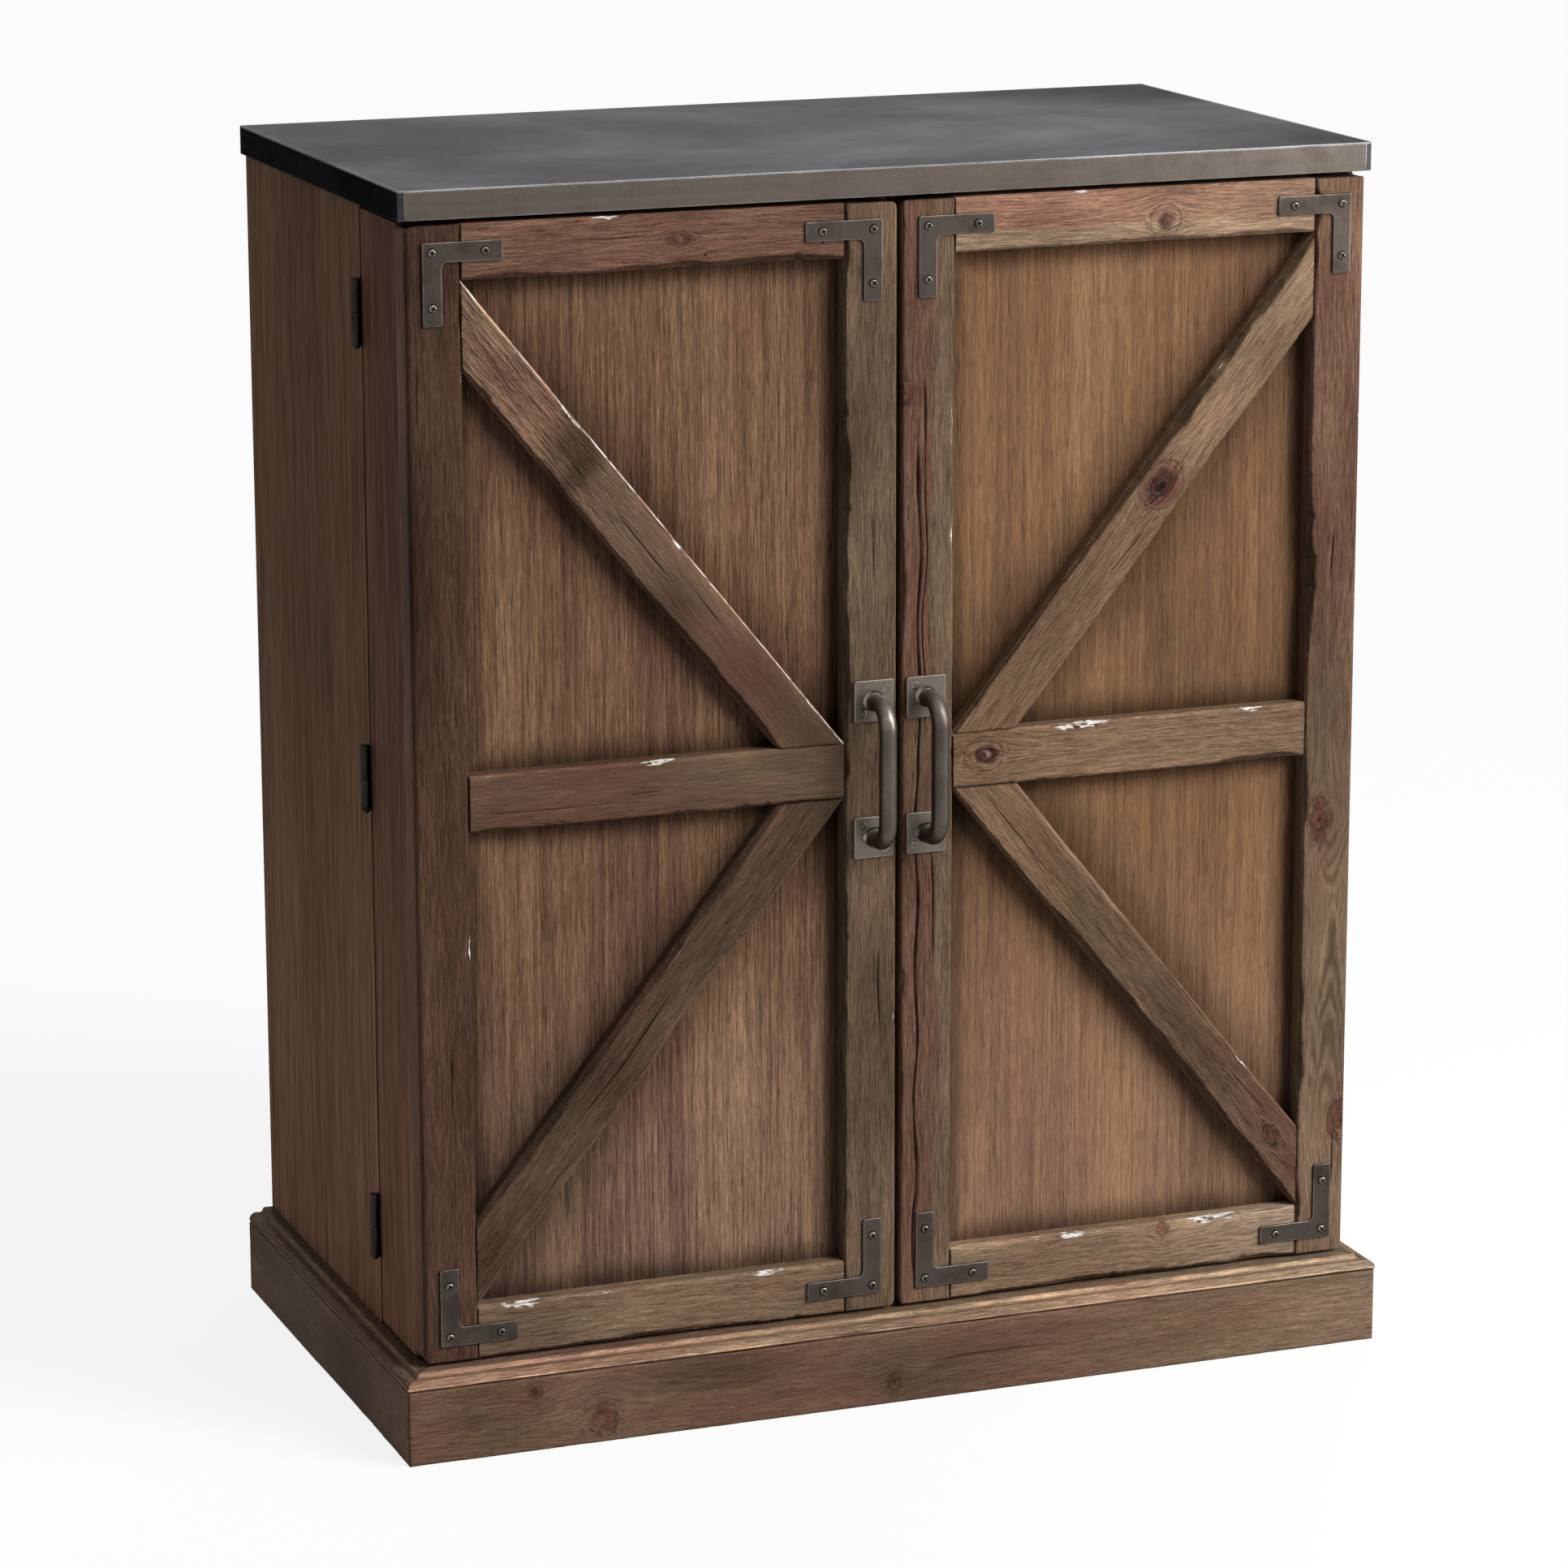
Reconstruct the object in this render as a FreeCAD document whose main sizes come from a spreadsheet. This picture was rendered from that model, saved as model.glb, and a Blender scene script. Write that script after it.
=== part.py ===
import FreeCAD, Part
import math
import os
from types import SimpleNamespace

import Sketcher

# Bar armoire: a cabinet with two deep doors on a moulded plinth, under a metal-clad top.
# Millimetres. +X is to the right, +Y to the back and +Z up; the origin lies on the floor,
# in the middle of the whole part's width and depth.

SIZES = {
    # whole
    "overall_height": 1067.0,
    "carcass_width": 853.0,
    "carcass_depth": 347.0,
    "door_depth": 123.0,
    # top
    "top_thickness": 24.5,
    "top_side_reach": 5.0,
    "top_front_reach": 1.0,
    "sheet_thickness": 1.2,
    # carcass
    "side_board": 18.0,
    "case_board": 18.0,
    "back_board": 6.0,
    "shelf_setback": 12.0,
    # stemware rails
    "rail_stem_width": 22.0,
    "rail_stem_height": 24.0,
    "rail_flange_width": 72.0,
    "rail_flange_thickness": 10.0,
    # base
    "plinth_height": 66.0,
    "plinth_board": 20.0,
    "base_reach": 22.0,
    "moulding_height": 11.5,
    "moulding_profile": 13.0,
    "moulding_lip": 1.5,
    "moulding_round": 6.5,
    "moulding_hollow": 3.8,
    "moulding_width": 46.0,
    # doors
    "seam_gap": 2.2,
    "meeting_gap": 4.3,
    "door_top_gap": 4.0,
    "door_bottom_gap": 3.0,
    "frame_thickness": 25.0,
    "stile_width": 47.0,
    "end_rail_width": 46.0,
    "middle_rail_width": 48.0,
    "brace_width": 46.0,
    "panel_thickness": 9.0,
    "rabbet_width": 9.0,
    "door_board": 15.0,
    "door_shelf_setback": 14.0,
    "guard_height": 22.0,
    "guard_thickness": 8.0,
    "guard_lift": 62.0,
    "guard_setback": 3.0,
    # handles
    "handle_spacing": 118.0,
    "handle_inset": 21.5,
    "handle_plate": 35.5,
    "handle_plate_thickness": 3.0,
    "handle_bar_diameter": 15.0,
    "handle_standoff": 34.5,
    "handle_bend_radius": 20.0,
    "handle_screw_inset": 7.5,
    "handle_screw_head_diameter": 7.5,
    "handle_screw_head_height": 2.2,
    # corner brackets
    "bracket_leg": 68.0,
    "bracket_width": 16.5,
    "bracket_thickness": 2.0,
    "bracket_inset": 14.0,
    "bracket_inner_radius": 5.0,
    "bracket_outer_radius": 2.5,
    "bracket_screw_end": 15.0,
    "bracket_screw_head_diameter": 7.6,
    "bracket_screw_head_height": 2.3,
    # screws
    "screw_diameter": 3.6,
    "screw_bite": 11.0,
    "screw_clearance": 0.05,
    # hinges
    "hinge_length": 56.0,
    "hinge_end_distance": 58.0,
    "hinge_leaf_width": 15.0,
    "hinge_leaf_inset": 0.5,
    "hinge_leaf_clearance": 0.3,
    "hinge_axis_proud": 4.6,
    "knuckle_diameter": 8.5,
    "knuckle_gap": 0.4,
    "hinge_pin_diameter": 4.0,
    "hinge_pin_clearance": 0.05,
    "hinge_pin_head_diameter": 6.4,
    "hinge_pin_head_height": 2.4,
    # magnets
    "magnet_diameter": 9.0,
    "magnet_length": 14.0,
    "magnet_offset": 60.0,
    "magnet_proud": 0.5,
    "strike_diameter": 13.0,
    "strike_gap": 0.4,
    # one overrun for every cut
    "overrun": 5.0,
}

# Counts and shares
STEMWARE_RAIL_COUNT = 7
DOOR_SHELF_COUNT = 2
MIDDLE_SHELF_SHARE = 0.48
OGEE_SPLIT_SHARES = (0.68, 0.57)
SCREW_CROWN_SHARE = 0.68
PIN_CROWN_SHARE = 0.5
EDGE_MATCH_SHARE = 0.01

DOC = FreeCAD.newDocument("bar_armoire")
NODES = []


class Size:
    """A length that knows both its number and the sheet formula that gives it."""

    def __init__(self, value, formula):
        self.value = value
        self.formula = formula

    def __add__(self, other):
        return Size(self.value + number(other), f"({self.formula} + {text(other)})")

    def __radd__(self, other):
        return self + other

    def __sub__(self, other):
        return Size(self.value - number(other), f"({self.formula} - {text(other)})")

    def __rsub__(self, other):
        return Size(number(other) - self.value, f"({text(other)} - {self.formula})")

    def __mul__(self, other):
        return Size(self.value * number(other), f"({self.formula} * {text(other)})")

    def __rmul__(self, other):
        return self * other

    def __truediv__(self, other):
        return Size(self.value / number(other), f"({self.formula} / {text(other)})")

    def __neg__(self):
        return Size(-self.value, f"(-{self.formula})")


def number(item):
    return item.value if isinstance(item, Size) else float(item)


def text(item):
    return item.formula if isinstance(item, Size) else repr(float(item))


def root(item):
    return Size(math.sqrt(item.value), f"sqrt({item.formula})")


def make_sheet():
    """Write the driving sizes to the sheet and return them as Size objects."""
    sheet = DOC.addObject("Spreadsheet::Sheet", "dims")
    for row, (name, value) in enumerate(SIZES.items(), start=1):
        sheet.set(f"A{row}", name)
        sheet.set(f"B{row}", str(value))
        sheet.setAlias(f"B{row}", name)
    DOC.recompute()
    return SimpleNamespace(**{name: Size(value, f"dims.{name}") for name, value in SIZES.items()})


S = make_sheet()


# Places worked out from the sizes

PLACE = SimpleNamespace()
PLACE.half_width = S.carcass_width / 2
PLACE.handle_reach = S.handle_standoff + S.handle_bar_diameter / 2
PLACE.back_y = (S.carcass_depth + S.seam_gap + S.door_depth + PLACE.handle_reach) / 2
PLACE.carcass_front_y = PLACE.back_y - S.carcass_depth
PLACE.seam_y = PLACE.carcass_front_y - S.seam_gap / 2
PLACE.door_back_y = PLACE.carcass_front_y - S.seam_gap
PLACE.face_y = PLACE.door_back_y - S.door_depth
PLACE.frame_back_y = PLACE.face_y + S.frame_thickness
PLACE.panel_front_y = PLACE.frame_back_y - S.panel_thickness
PLACE.base_front_y = PLACE.face_y - S.base_reach
PLACE.base_half_width = PLACE.half_width + S.base_reach
PLACE.deck_z = S.plinth_height + S.moulding_height
PLACE.top_z = S.overall_height - S.top_thickness
PLACE.ceiling_z = PLACE.top_z - S.case_board
PLACE.door_low_z = PLACE.deck_z + S.door_bottom_gap
PLACE.door_high_z = PLACE.top_z - S.door_top_gap
PLACE.door_height = PLACE.door_high_z - PLACE.door_low_z
PLACE.door_mid_z = (PLACE.door_low_z + PLACE.door_high_z) / 2
PLACE.inner_half = PLACE.half_width - S.side_board
PLACE.inner_back_y = PLACE.back_y - S.back_board
PLACE.magnet_z = (PLACE.door_high_z + PLACE.ceiling_z) / 2
PLACE.hinge_u = PLACE.half_width + S.hinge_axis_proud

# A door's places along u, the distance from the cabinet's middle plane to the outside
PLACE.meet_u = S.meeting_gap / 2
PLACE.open_in_u = PLACE.meet_u + S.stile_width
PLACE.open_out_u = PLACE.half_width - S.stile_width
PLACE.low_rail_z = PLACE.door_low_z + S.end_rail_width
PLACE.high_rail_z = PLACE.door_high_z - S.end_rail_width
PLACE.mid_low_z = PLACE.door_mid_z - S.middle_rail_width / 2
PLACE.mid_high_z = PLACE.door_mid_z + S.middle_rail_width / 2

X_AXIS = FreeCAD.Vector(1, 0, 0)
Y_AXIS = FreeCAD.Vector(0, 1, 0)
Z_AXIS = FreeCAD.Vector(0, 0, 1)
TURN = {
    "up": FreeCAD.Rotation(),
    "down": FreeCAD.Rotation(X_AXIS, 180),
    "back": FreeCAD.Rotation(X_AXIS, -90),
    "front": FreeCAD.Rotation(X_AXIS, 90),
}


# Drawing helpers

def bind(piece, prop, item):
    """Tie a property to the sheet, or set it where it is a plain number."""
    if isinstance(item, Size):
        piece.setExpression(prop, item.formula)
    elif prop in piece.PropertiesList:
        setattr(piece, prop, item)


def place(piece, spot, turn=TURN["up"]):
    piece.Placement = FreeCAD.Placement(FreeCAD.Vector(), turn)
    for axis, item in zip("xyz", spot):
        bind(piece, f"Placement.Base.{axis}", item)


def keep(piece, label):
    """Name a finished sub-part and put it on the list that is written out."""
    piece.Label = label
    NODES.append(piece)
    return piece


def box(label, low, lengths):
    piece = DOC.addObject("Part::Box", label)
    for prop, item in zip(("Length", "Width", "Height"), lengths):
        bind(piece, prop, item)
    place(piece, low)
    return piece


def span_box(label, low, high):
    return box(label, low, [top - bottom for bottom, top in zip(low, high)])


def cylinder(label, spot, way, radius, length):
    piece = DOC.addObject("Part::Cylinder", label)
    bind(piece, "Radius", radius)
    bind(piece, "Height", length)
    place(piece, spot, TURN[way])
    return piece


def cone(label, spot, way, base_radius, end_radius, length):
    piece = DOC.addObject("Part::Cone", label)
    bind(piece, "Radius1", base_radius)
    bind(piece, "Radius2", end_radius)
    bind(piece, "Height", length)
    place(piece, spot, TURN[way])
    return piece


def quarter_bend(label, spot, start, end, bend_radius, bar_radius):
    """A quarter of a ring, from the direction start to the direction end."""
    piece = DOC.addObject("Part::Torus", label)
    bind(piece, "Radius1", bend_radius)
    bind(piece, "Radius2", bar_radius)
    piece.Angle3 = 90
    place(piece, spot, FreeCAD.Rotation(start, end, start.cross(end)))
    return piece


def fuse(label, pieces):
    piece = DOC.addObject("Part::MultiFuse", label)
    piece.Shapes = pieces
    piece.Refine = True
    return piece


def group(label, pieces):
    piece = DOC.addObject("Part::Compound", label)
    piece.Links = pieces
    return piece


def cut(label, base, tool):
    piece = DOC.addObject("Part::Cut", label)
    piece.Base = base
    piece.Tool = tool
    return piece


def plane_of(body, role):
    return next(feature for feature in body.Origin.OriginFeatures if feature.Role == role)


def arc_through(start, end, radius, turn):
    """An arc from start to end; turn is 1 where it runs anticlockwise and -1 where clockwise."""
    middle = (start + end) / 2
    chord = end - start
    height = math.sqrt(max(radius ** 2 - (chord.Length / 2) ** 2, 0))
    centre = middle + FreeCAD.Vector(-chord.y, chord.x, 0).normalize() * height * turn
    first, last = (start, end) if turn > 0 else (end, start)
    angles = [math.atan2(point.y - centre.y, point.x - centre.x) for point in (first, last)]
    return Part.ArcOfCircle(Part.Circle(centre, Z_AXIS, radius), angles[0], angles[1])


def outline(body, name, role, corners, arcs=None):
    """A closed sketch through the corners; arcs gives {corner number: (radius, turn)} for the
    stretches that leave those corners as arcs."""
    sketch = body.newObject("Sketcher::SketchObject", name)
    sketch.AttachmentSupport = [(plane_of(body, role), "")]
    sketch.MapMode = "FlatFace"
    arcs = arcs or {}
    points = [FreeCAD.Vector(number(x), number(y), 0) for x, y in corners]
    ends = []
    for index, start in enumerate(points):
        end = points[(index + 1) % len(points)]
        if index in arcs:
            radius, turn = arcs[index]
            sketch.addGeometry(arc_through(start, end, number(radius), turn), False)
            ends.append((1, 2) if turn > 0 else (2, 1))
        else:
            sketch.addGeometry(Part.LineSegment(start, end), False)
            ends.append((1, 2))
    for index, (x, y) in enumerate(corners):
        before = index - 1 if index else len(points) - 1
        sketch.addConstraint(
            Sketcher.Constraint("Coincident", before, ends[before][1], index, ends[index][0]))
        for kind, item in (("DistanceX", x), ("DistanceY", y)):
            datum = sketch.addConstraint(
                Sketcher.Constraint(kind, -1, 1, index, ends[index][0], number(item)))
            name_constraint(sketch, datum, f"{kind}{index}", item)
    for index, (radius, turn) in arcs.items():
        datum = sketch.addConstraint(Sketcher.Constraint("Radius", index, number(radius)))
        name_constraint(sketch, datum, f"Radius{index}", radius)
    return sketch


def name_constraint(sketch, datum, name, item):
    sketch.renameConstraint(datum, name)
    if isinstance(item, Size):
        sketch.setExpression(f"Constraints.{name}", item.formula)


def prism(label, role, corners, length, spot):
    """A body whose outline is padded along the sketch's normal, placed at spot."""
    body = DOC.addObject("PartDesign::Body", label)
    pad = body.newObject("PartDesign::Pad", f"{label}_pad")
    pad.Profile = outline(body, f"{label}_outline", role, corners)
    bind(pad, "Length", length)
    place(body, spot)
    DOC.recompute()
    return body


def round_corners(body, name, corners, radius):
    """Fillet the edges of the body's tip that run along Y through the corners (x, z)."""
    base = body.Tip
    near = S.overrun.value * EDGE_MATCH_SHARE
    names = []
    for index, edge in enumerate(base.Shape.Edges, start=1):
        middle = edge.CenterOfMass
        runs_along_y = abs(edge.Vertexes[-1].Y - edge.Vertexes[0].Y) > near
        distances = [math.hypot(middle.x - number(x), middle.z - number(z)) for x, z in corners]
        if runs_along_y and min(distances) < near:
            names.append(f"Edge{index}")
    fillet = body.newObject("PartDesign::Fillet", name)
    fillet.Base = (base, names)
    bind(fillet, "Radius", radius)
    DOC.recompute()


# Top

def make_top():
    """A board wrapped on its top and edges by a folded metal sheet."""
    half = PLACE.half_width + S.top_side_reach
    front = PLACE.face_y - S.top_front_reach
    inner_half = half - S.sheet_thickness
    core_low = (-inner_half, front + S.sheet_thickness, PLACE.top_z)
    core_high = (inner_half, PLACE.back_y - S.sheet_thickness, S.overall_height - S.sheet_thickness)
    core = keep(span_box("core", core_low, core_high), "top_core")
    outer = span_box("sheet_outer", (-half, front, PLACE.top_z), (half, PLACE.back_y, S.overall_height))
    keep(cut("sheet", outer, core), "top_metal_sheet")


# Carcass

def make_carcass():
    inner = PLACE.inner_half
    front = PLACE.carcass_front_y
    for side, name in ((-1, "left"), (1, "right")):
        low = (inner if side > 0 else -PLACE.half_width, front, PLACE.deck_z)
        lengths = (S.side_board, S.carcass_depth, PLACE.top_z - PLACE.deck_z)
        keep(box(f"side_{name}", low, lengths), f"side_panel_{name}")
    back_low = (-inner, PLACE.inner_back_y, PLACE.deck_z)
    keep(span_box("back", back_low, (inner, PLACE.back_y, PLACE.top_z)), "back_panel")
    floor_high = (inner, PLACE.inner_back_y, PLACE.deck_z + S.case_board)
    keep(span_box("floor", (-inner, front, PLACE.deck_z), floor_high), "bottom_panel")
    shelf_z = PLACE.deck_z + (PLACE.top_z - PLACE.deck_z) * MIDDLE_SHELF_SHARE
    shelf_low = (-inner, front + S.shelf_setback, shelf_z)
    keep(span_box("shelf", shelf_low, (inner, PLACE.inner_back_y, shelf_z + S.case_board)), "middle_shelf")
    ceiling = span_box("ceiling", (-inner, front, PLACE.ceiling_z), (inner, PLACE.inner_back_y, PLACE.top_z))
    sockets = []
    magnets = []
    for side in (-1, 1):
        spot = (S.magnet_offset * side, front - S.magnet_proud, PLACE.magnet_z)
        radius = S.magnet_diameter / 2
        magnets.append(cylinder("magnet", spot, "back", radius, S.magnet_length))
        sockets.append(cylinder("socket", spot, "back", radius + S.screw_clearance, S.magnet_length))
    keep(cut("ceiling_board", ceiling, group("sockets", sockets)), "carcass_top")
    keep(group("magnets", magnets), "door_magnets")


def make_stemware_rails():
    """T-section rails under the ceiling board, evenly spread from side to side."""
    pitch = PLACE.inner_half * 2 / STEMWARE_RAIL_COUNT
    front = PLACE.carcass_front_y + S.shelf_setback
    stem_low_z = PLACE.ceiling_z - S.rail_stem_height
    rails = []
    for index in range(STEMWARE_RAIL_COUNT):
        middle = -PLACE.inner_half + pitch * (index + 0.5)
        half_stem = S.rail_stem_width / 2
        half_flange = S.rail_flange_width / 2
        stem = span_box("rail_stem", (middle - half_stem, front, stem_low_z),
                        (middle + half_stem, PLACE.inner_back_y, PLACE.ceiling_z))
        flange = span_box("rail_flange",
                          (middle - half_flange, front, stem_low_z - S.rail_flange_thickness),
                          (middle + half_flange, PLACE.inner_back_y, stem_low_z))
        rails.append(fuse("rail", [stem, flange]))
    keep(group("rails", rails), "stemware_rails")


# Base

def mitred_plans(width):
    """Plan outlines of the front, left and right boards of a base ring, mitred at the front."""
    half = PLACE.base_half_width
    front = PLACE.base_front_y
    inner = half - width
    plans = {"front": [(-half, front), (half, front), (inner, front + width), (-inner, front + width)]}
    for side, name in ((-1, "left"), (1, "right")):
        plans[name] = [(half * side, front), (half * side, PLACE.back_y),
                       (inner * side, PLACE.back_y), (inner * side, front + width)]
    return plans


def make_base():
    """Plinth boards, the moulding strips on top of them and the deck inside the strips."""
    for name, plan in mitred_plans(S.plinth_board).items():
        body = prism(f"plinth_{name}_body", "XY_Plane", plan, S.plinth_height, (0, 0, 0))
        keep(body, f"plinth_{name}")
    inner = PLACE.base_half_width - S.plinth_board
    back_low = (-inner, PLACE.back_y - S.plinth_board, 0)
    keep(span_box("plinth_rear", back_low, (inner, PLACE.back_y, S.plinth_height)), "plinth_back")
    for name, plan in mitred_plans(S.moulding_width).items():
        spot = (0, 0, S.plinth_height)
        body = prism(f"moulding_{name}", "XY_Plane", plan, S.moulding_height, spot)
        cut_ogee(body, name)
        keep(body, f"base_moulding_{name}")
    inner = PLACE.base_half_width - S.moulding_width
    deck_low = (-inner, PLACE.base_front_y + S.moulding_width, S.plinth_height)
    keep(span_box("deck", deck_low, (inner, PLACE.back_y, PLACE.deck_z)), "base_deck")


def cut_ogee(body, name):
    """Cut the strip's outer upper edge to an S-shaped profile along its whole length."""
    outer, inward, role = {
        "front": (PLACE.base_front_y, 1, "YZ_Plane"),
        "left": (-PLACE.base_half_width, 1, "XZ_Plane"),
        "right": (PLACE.base_half_width, -1, "XZ_Plane"),
    }[name]
    across_share, up_share = OGEE_SPLIT_SHARES
    rise = S.moulding_height - S.moulding_lip
    above = S.moulding_height + S.overrun
    corners = [
        (outer, S.moulding_lip),
        (outer + S.moulding_profile * across_share * inward, S.moulding_lip + rise * up_share),
        (outer + S.moulding_profile * inward, S.moulding_height),
        (outer + S.moulding_profile * inward, above),
        (outer - S.overrun * inward, above),
        (outer - S.overrun * inward, S.moulding_lip),
    ]
    arcs = {0: (S.moulding_round, -inward), 1: (S.moulding_hollow, inward)}
    pocket = body.newObject("PartDesign::Pocket", f"moulding_{name}_ogee")
    pocket.Profile = outline(body, f"moulding_{name}_profile", role, corners, arcs)
    pocket.Type = "ThroughAll"
    pocket.SideType = "Symmetric"
    DOC.recompute()


# Hinges

def hinge_middles():
    reach = S.hinge_end_distance + S.hinge_length / 2
    return (PLACE.door_low_z + reach, PLACE.door_mid_z, PLACE.door_high_z - reach)


def hinge_leaf(side, middle_z, holder):
    """One leaf with its knuckle: the cabinet's is the lower knuckle, the door's the upper one."""
    half_length = S.hinge_length / 2
    leaf_thickness = (S.seam_gap - S.hinge_leaf_clearance) / 2
    knuckle_length = (S.hinge_length - S.knuckle_gap) / 2
    low_y = PLACE.carcass_front_y - leaf_thickness if holder == "cabinet" else PLACE.door_back_y
    low_z = middle_z - half_length
    knuckle_z = low_z if holder == "cabinet" else middle_z + S.knuckle_gap / 2
    edge_u = PLACE.half_width - S.hinge_leaf_inset
    neck_length = PLACE.hinge_u - edge_u
    plate = box("leaf_plate", (mirrored(side, edge_u - S.hinge_leaf_width, S.hinge_leaf_width), low_y, low_z),
                (S.hinge_leaf_width, leaf_thickness, S.hinge_length))
    neck = box("leaf_neck", (mirrored(side, edge_u, neck_length), low_y, knuckle_z),
               (neck_length, leaf_thickness, knuckle_length))
    spot = (PLACE.hinge_u * side, PLACE.seam_y, knuckle_z)
    knuckle = cylinder("knuckle", spot, "up", S.knuckle_diameter / 2, knuckle_length)
    bore_radius = S.hinge_pin_diameter / 2 + S.hinge_pin_clearance
    bore_spot = (spot[0], spot[1], knuckle_z - S.overrun)
    bore = cylinder("knuckle_bore", bore_spot, "up", bore_radius, knuckle_length + S.overrun * 2)
    return cut("leaf", fuse("leaf_blank", [plate, neck, knuckle]), bore)


def hinge_pin(side, middle_z):
    """A pin that fills both knuckles, with a rounded head under the lower one."""
    spot = (PLACE.hinge_u * side, PLACE.seam_y, middle_z - S.hinge_length / 2)
    shaft = cylinder("pin_shaft", spot, "up", S.hinge_pin_diameter / 2, S.hinge_length)
    head_radius = S.hinge_pin_head_diameter / 2
    head = cone("pin_head", spot, "down", head_radius, head_radius * PIN_CROWN_SHARE,
                S.hinge_pin_head_height)
    return fuse("pin", [shaft, head])


def make_cabinet_hinges():
    spots = [(side, middle_z) for side in (-1, 1) for middle_z in hinge_middles()]
    keep(group("leaves", [hinge_leaf(*spot, "cabinet") for spot in spots]), "cabinet_hinge_leaves")
    keep(group("pins", [hinge_pin(*spot) for spot in spots]), "hinge_pins")


# Doors

def mirrored(side, near_u, length):
    """Low x of something that reaches from near_u outwards by length, on the given side."""
    return near_u if side > 0 else -near_u - length


class Door:
    """One deep door; side is -1 for the left door and 1 for the right one."""

    def __init__(self, side, name):
        self.side = side
        self.name = name
        self.pilots = []

    def label(self, piece):
        return f"{self.name}_{piece}"

    def board(self, name, u_span, y_span, z_span):
        low = (mirrored(self.side, u_span[0], u_span[1] - u_span[0]), y_span[0], z_span[0])
        lengths = [span[1] - span[0] for span in (u_span, y_span, z_span)]
        return box(f"{self.label(name)}_board", low, lengths)

    def make(self):
        self.make_brackets()
        self.make_handle()
        self.make_frame()
        self.make_braces()
        self.make_box()
        self.make_hinge_side()

    def bored(self, name, board, tools):
        """A frame board with the seat of the panel and the screws' pilot holes cut out of it."""
        keep(cut(f"{self.label(name)}_bored", board, group(f"{name}_tools", tools)), self.label(name))

    def make_frame(self):
        """Stiles and end rails round the panel, and the middle rail on the panel's face."""
        thick = (PLACE.face_y, PLACE.frame_back_y)
        full = (PLACE.door_low_z, PLACE.door_high_z)
        opening = (PLACE.open_in_u, PLACE.open_out_u)
        panel = self.board("panel",
                           (PLACE.open_in_u - S.rabbet_width, PLACE.open_out_u + S.rabbet_width),
                           (PLACE.panel_front_y, PLACE.frame_back_y),
                           (PLACE.low_rail_z - S.rabbet_width, PLACE.high_rail_z + S.rabbet_width))
        tools = [panel, group(self.label("pilot_holes"), self.pilots)]
        stiles = {"hinge_stile": (PLACE.open_out_u, PLACE.half_width),
                  "meeting_stile": (PLACE.meet_u, PLACE.open_in_u)}
        for name, u_span in stiles.items():
            self.bored(name, self.board(name, u_span, thick, full), tools)
        rails = {"top_rail": (PLACE.high_rail_z, PLACE.door_high_z),
                 "bottom_rail": (PLACE.door_low_z, PLACE.low_rail_z)}
        for name, z_span in rails.items():
            self.bored(name, self.board(name, opening, thick, z_span), tools)
        applied = (PLACE.face_y, PLACE.panel_front_y)
        middle = self.board("middle_rail", opening, applied, (PLACE.mid_low_z, PLACE.mid_high_z))
        keep(middle, self.label("middle_rail"))
        keep(panel, self.label("panel"))

    def make_braces(self):
        """Diagonal boards on the panel, from the hinge stile's corners to the middle rail's end."""
        self.make_brace("upper_brace", PLACE.high_rail_z, PLACE.mid_high_z)
        self.make_brace("lower_brace", PLACE.low_rail_z, PLACE.mid_low_z)

    def make_brace(self, name, outer_z, inner_z):
        """The brace's outer edge joins two corners of its bay, and its other edge is parallel."""
        run = PLACE.open_out_u - PLACE.open_in_u
        rise = outer_z - inner_z
        slope_length = root(run * run + rise * rise)
        along_stile = S.brace_width * slope_length / run
        along_rail = S.brace_width * slope_length / (rise if rise.value > 0 else -rise)
        outward = 1 if rise.value > 0 else -1
        corners = [(PLACE.open_out_u * self.side, outer_z),
                   (PLACE.open_in_u * self.side, inner_z),
                   ((PLACE.open_in_u + along_rail) * self.side, inner_z),
                   (PLACE.open_out_u * self.side, outer_z - along_stile * outward)]
        thickness = S.frame_thickness - S.panel_thickness
        body = prism(f"{self.label(name)}_body", "XZ_Plane", corners, thickness,
                     (0, PLACE.panel_front_y, 0))
        keep(body, self.label(name))

    def make_box(self):
        """Sides, ends, shelves and bottle guards of the deep part behind the frame."""
        deep = (PLACE.frame_back_y, PLACE.door_back_y)
        full = (PLACE.door_low_z, PLACE.door_high_z)
        inner = (PLACE.meet_u, PLACE.meet_u + S.door_board)
        outer = (PLACE.half_width - S.door_board, PLACE.half_width)
        between = (inner[1], outer[0])
        boards = {
            "inner_side": (inner, full),
            "outer_side": (outer, full),
            "box_top": (between, (PLACE.door_high_z - S.door_board, PLACE.door_high_z)),
            "box_bottom": (between, (PLACE.door_low_z, PLACE.door_low_z + S.door_board)),
        }
        for name, (u_span, z_span) in boards.items():
            keep(self.board(name, u_span, deep, z_span), self.label(name))
        bay_count = DOOR_SHELF_COUNT + 1
        bay = (PLACE.door_height - S.door_board * (bay_count + 1)) / bay_count
        shelf_y = (PLACE.frame_back_y, PLACE.door_back_y - S.door_shelf_setback)
        guard_high_y = PLACE.door_back_y - S.guard_setback
        guard_y = (guard_high_y - S.guard_thickness, guard_high_y)
        shelves = []
        guards = []
        for index in range(bay_count):
            floor_z = PLACE.door_low_z + S.door_board + (bay + S.door_board) * index
            if index:
                shelves.append(self.board("shelf", between, shelf_y, (floor_z - S.door_board, floor_z)))
            guard_low = floor_z + S.guard_lift
            guards.append(self.board("guard", between, guard_y, (guard_low, guard_low + S.guard_height)))
        keep(group(self.label("shelf_boards"), shelves), self.label("shelves"))
        keep(group(self.label("guard_slats"), guards), self.label("guard_rails"))

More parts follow.
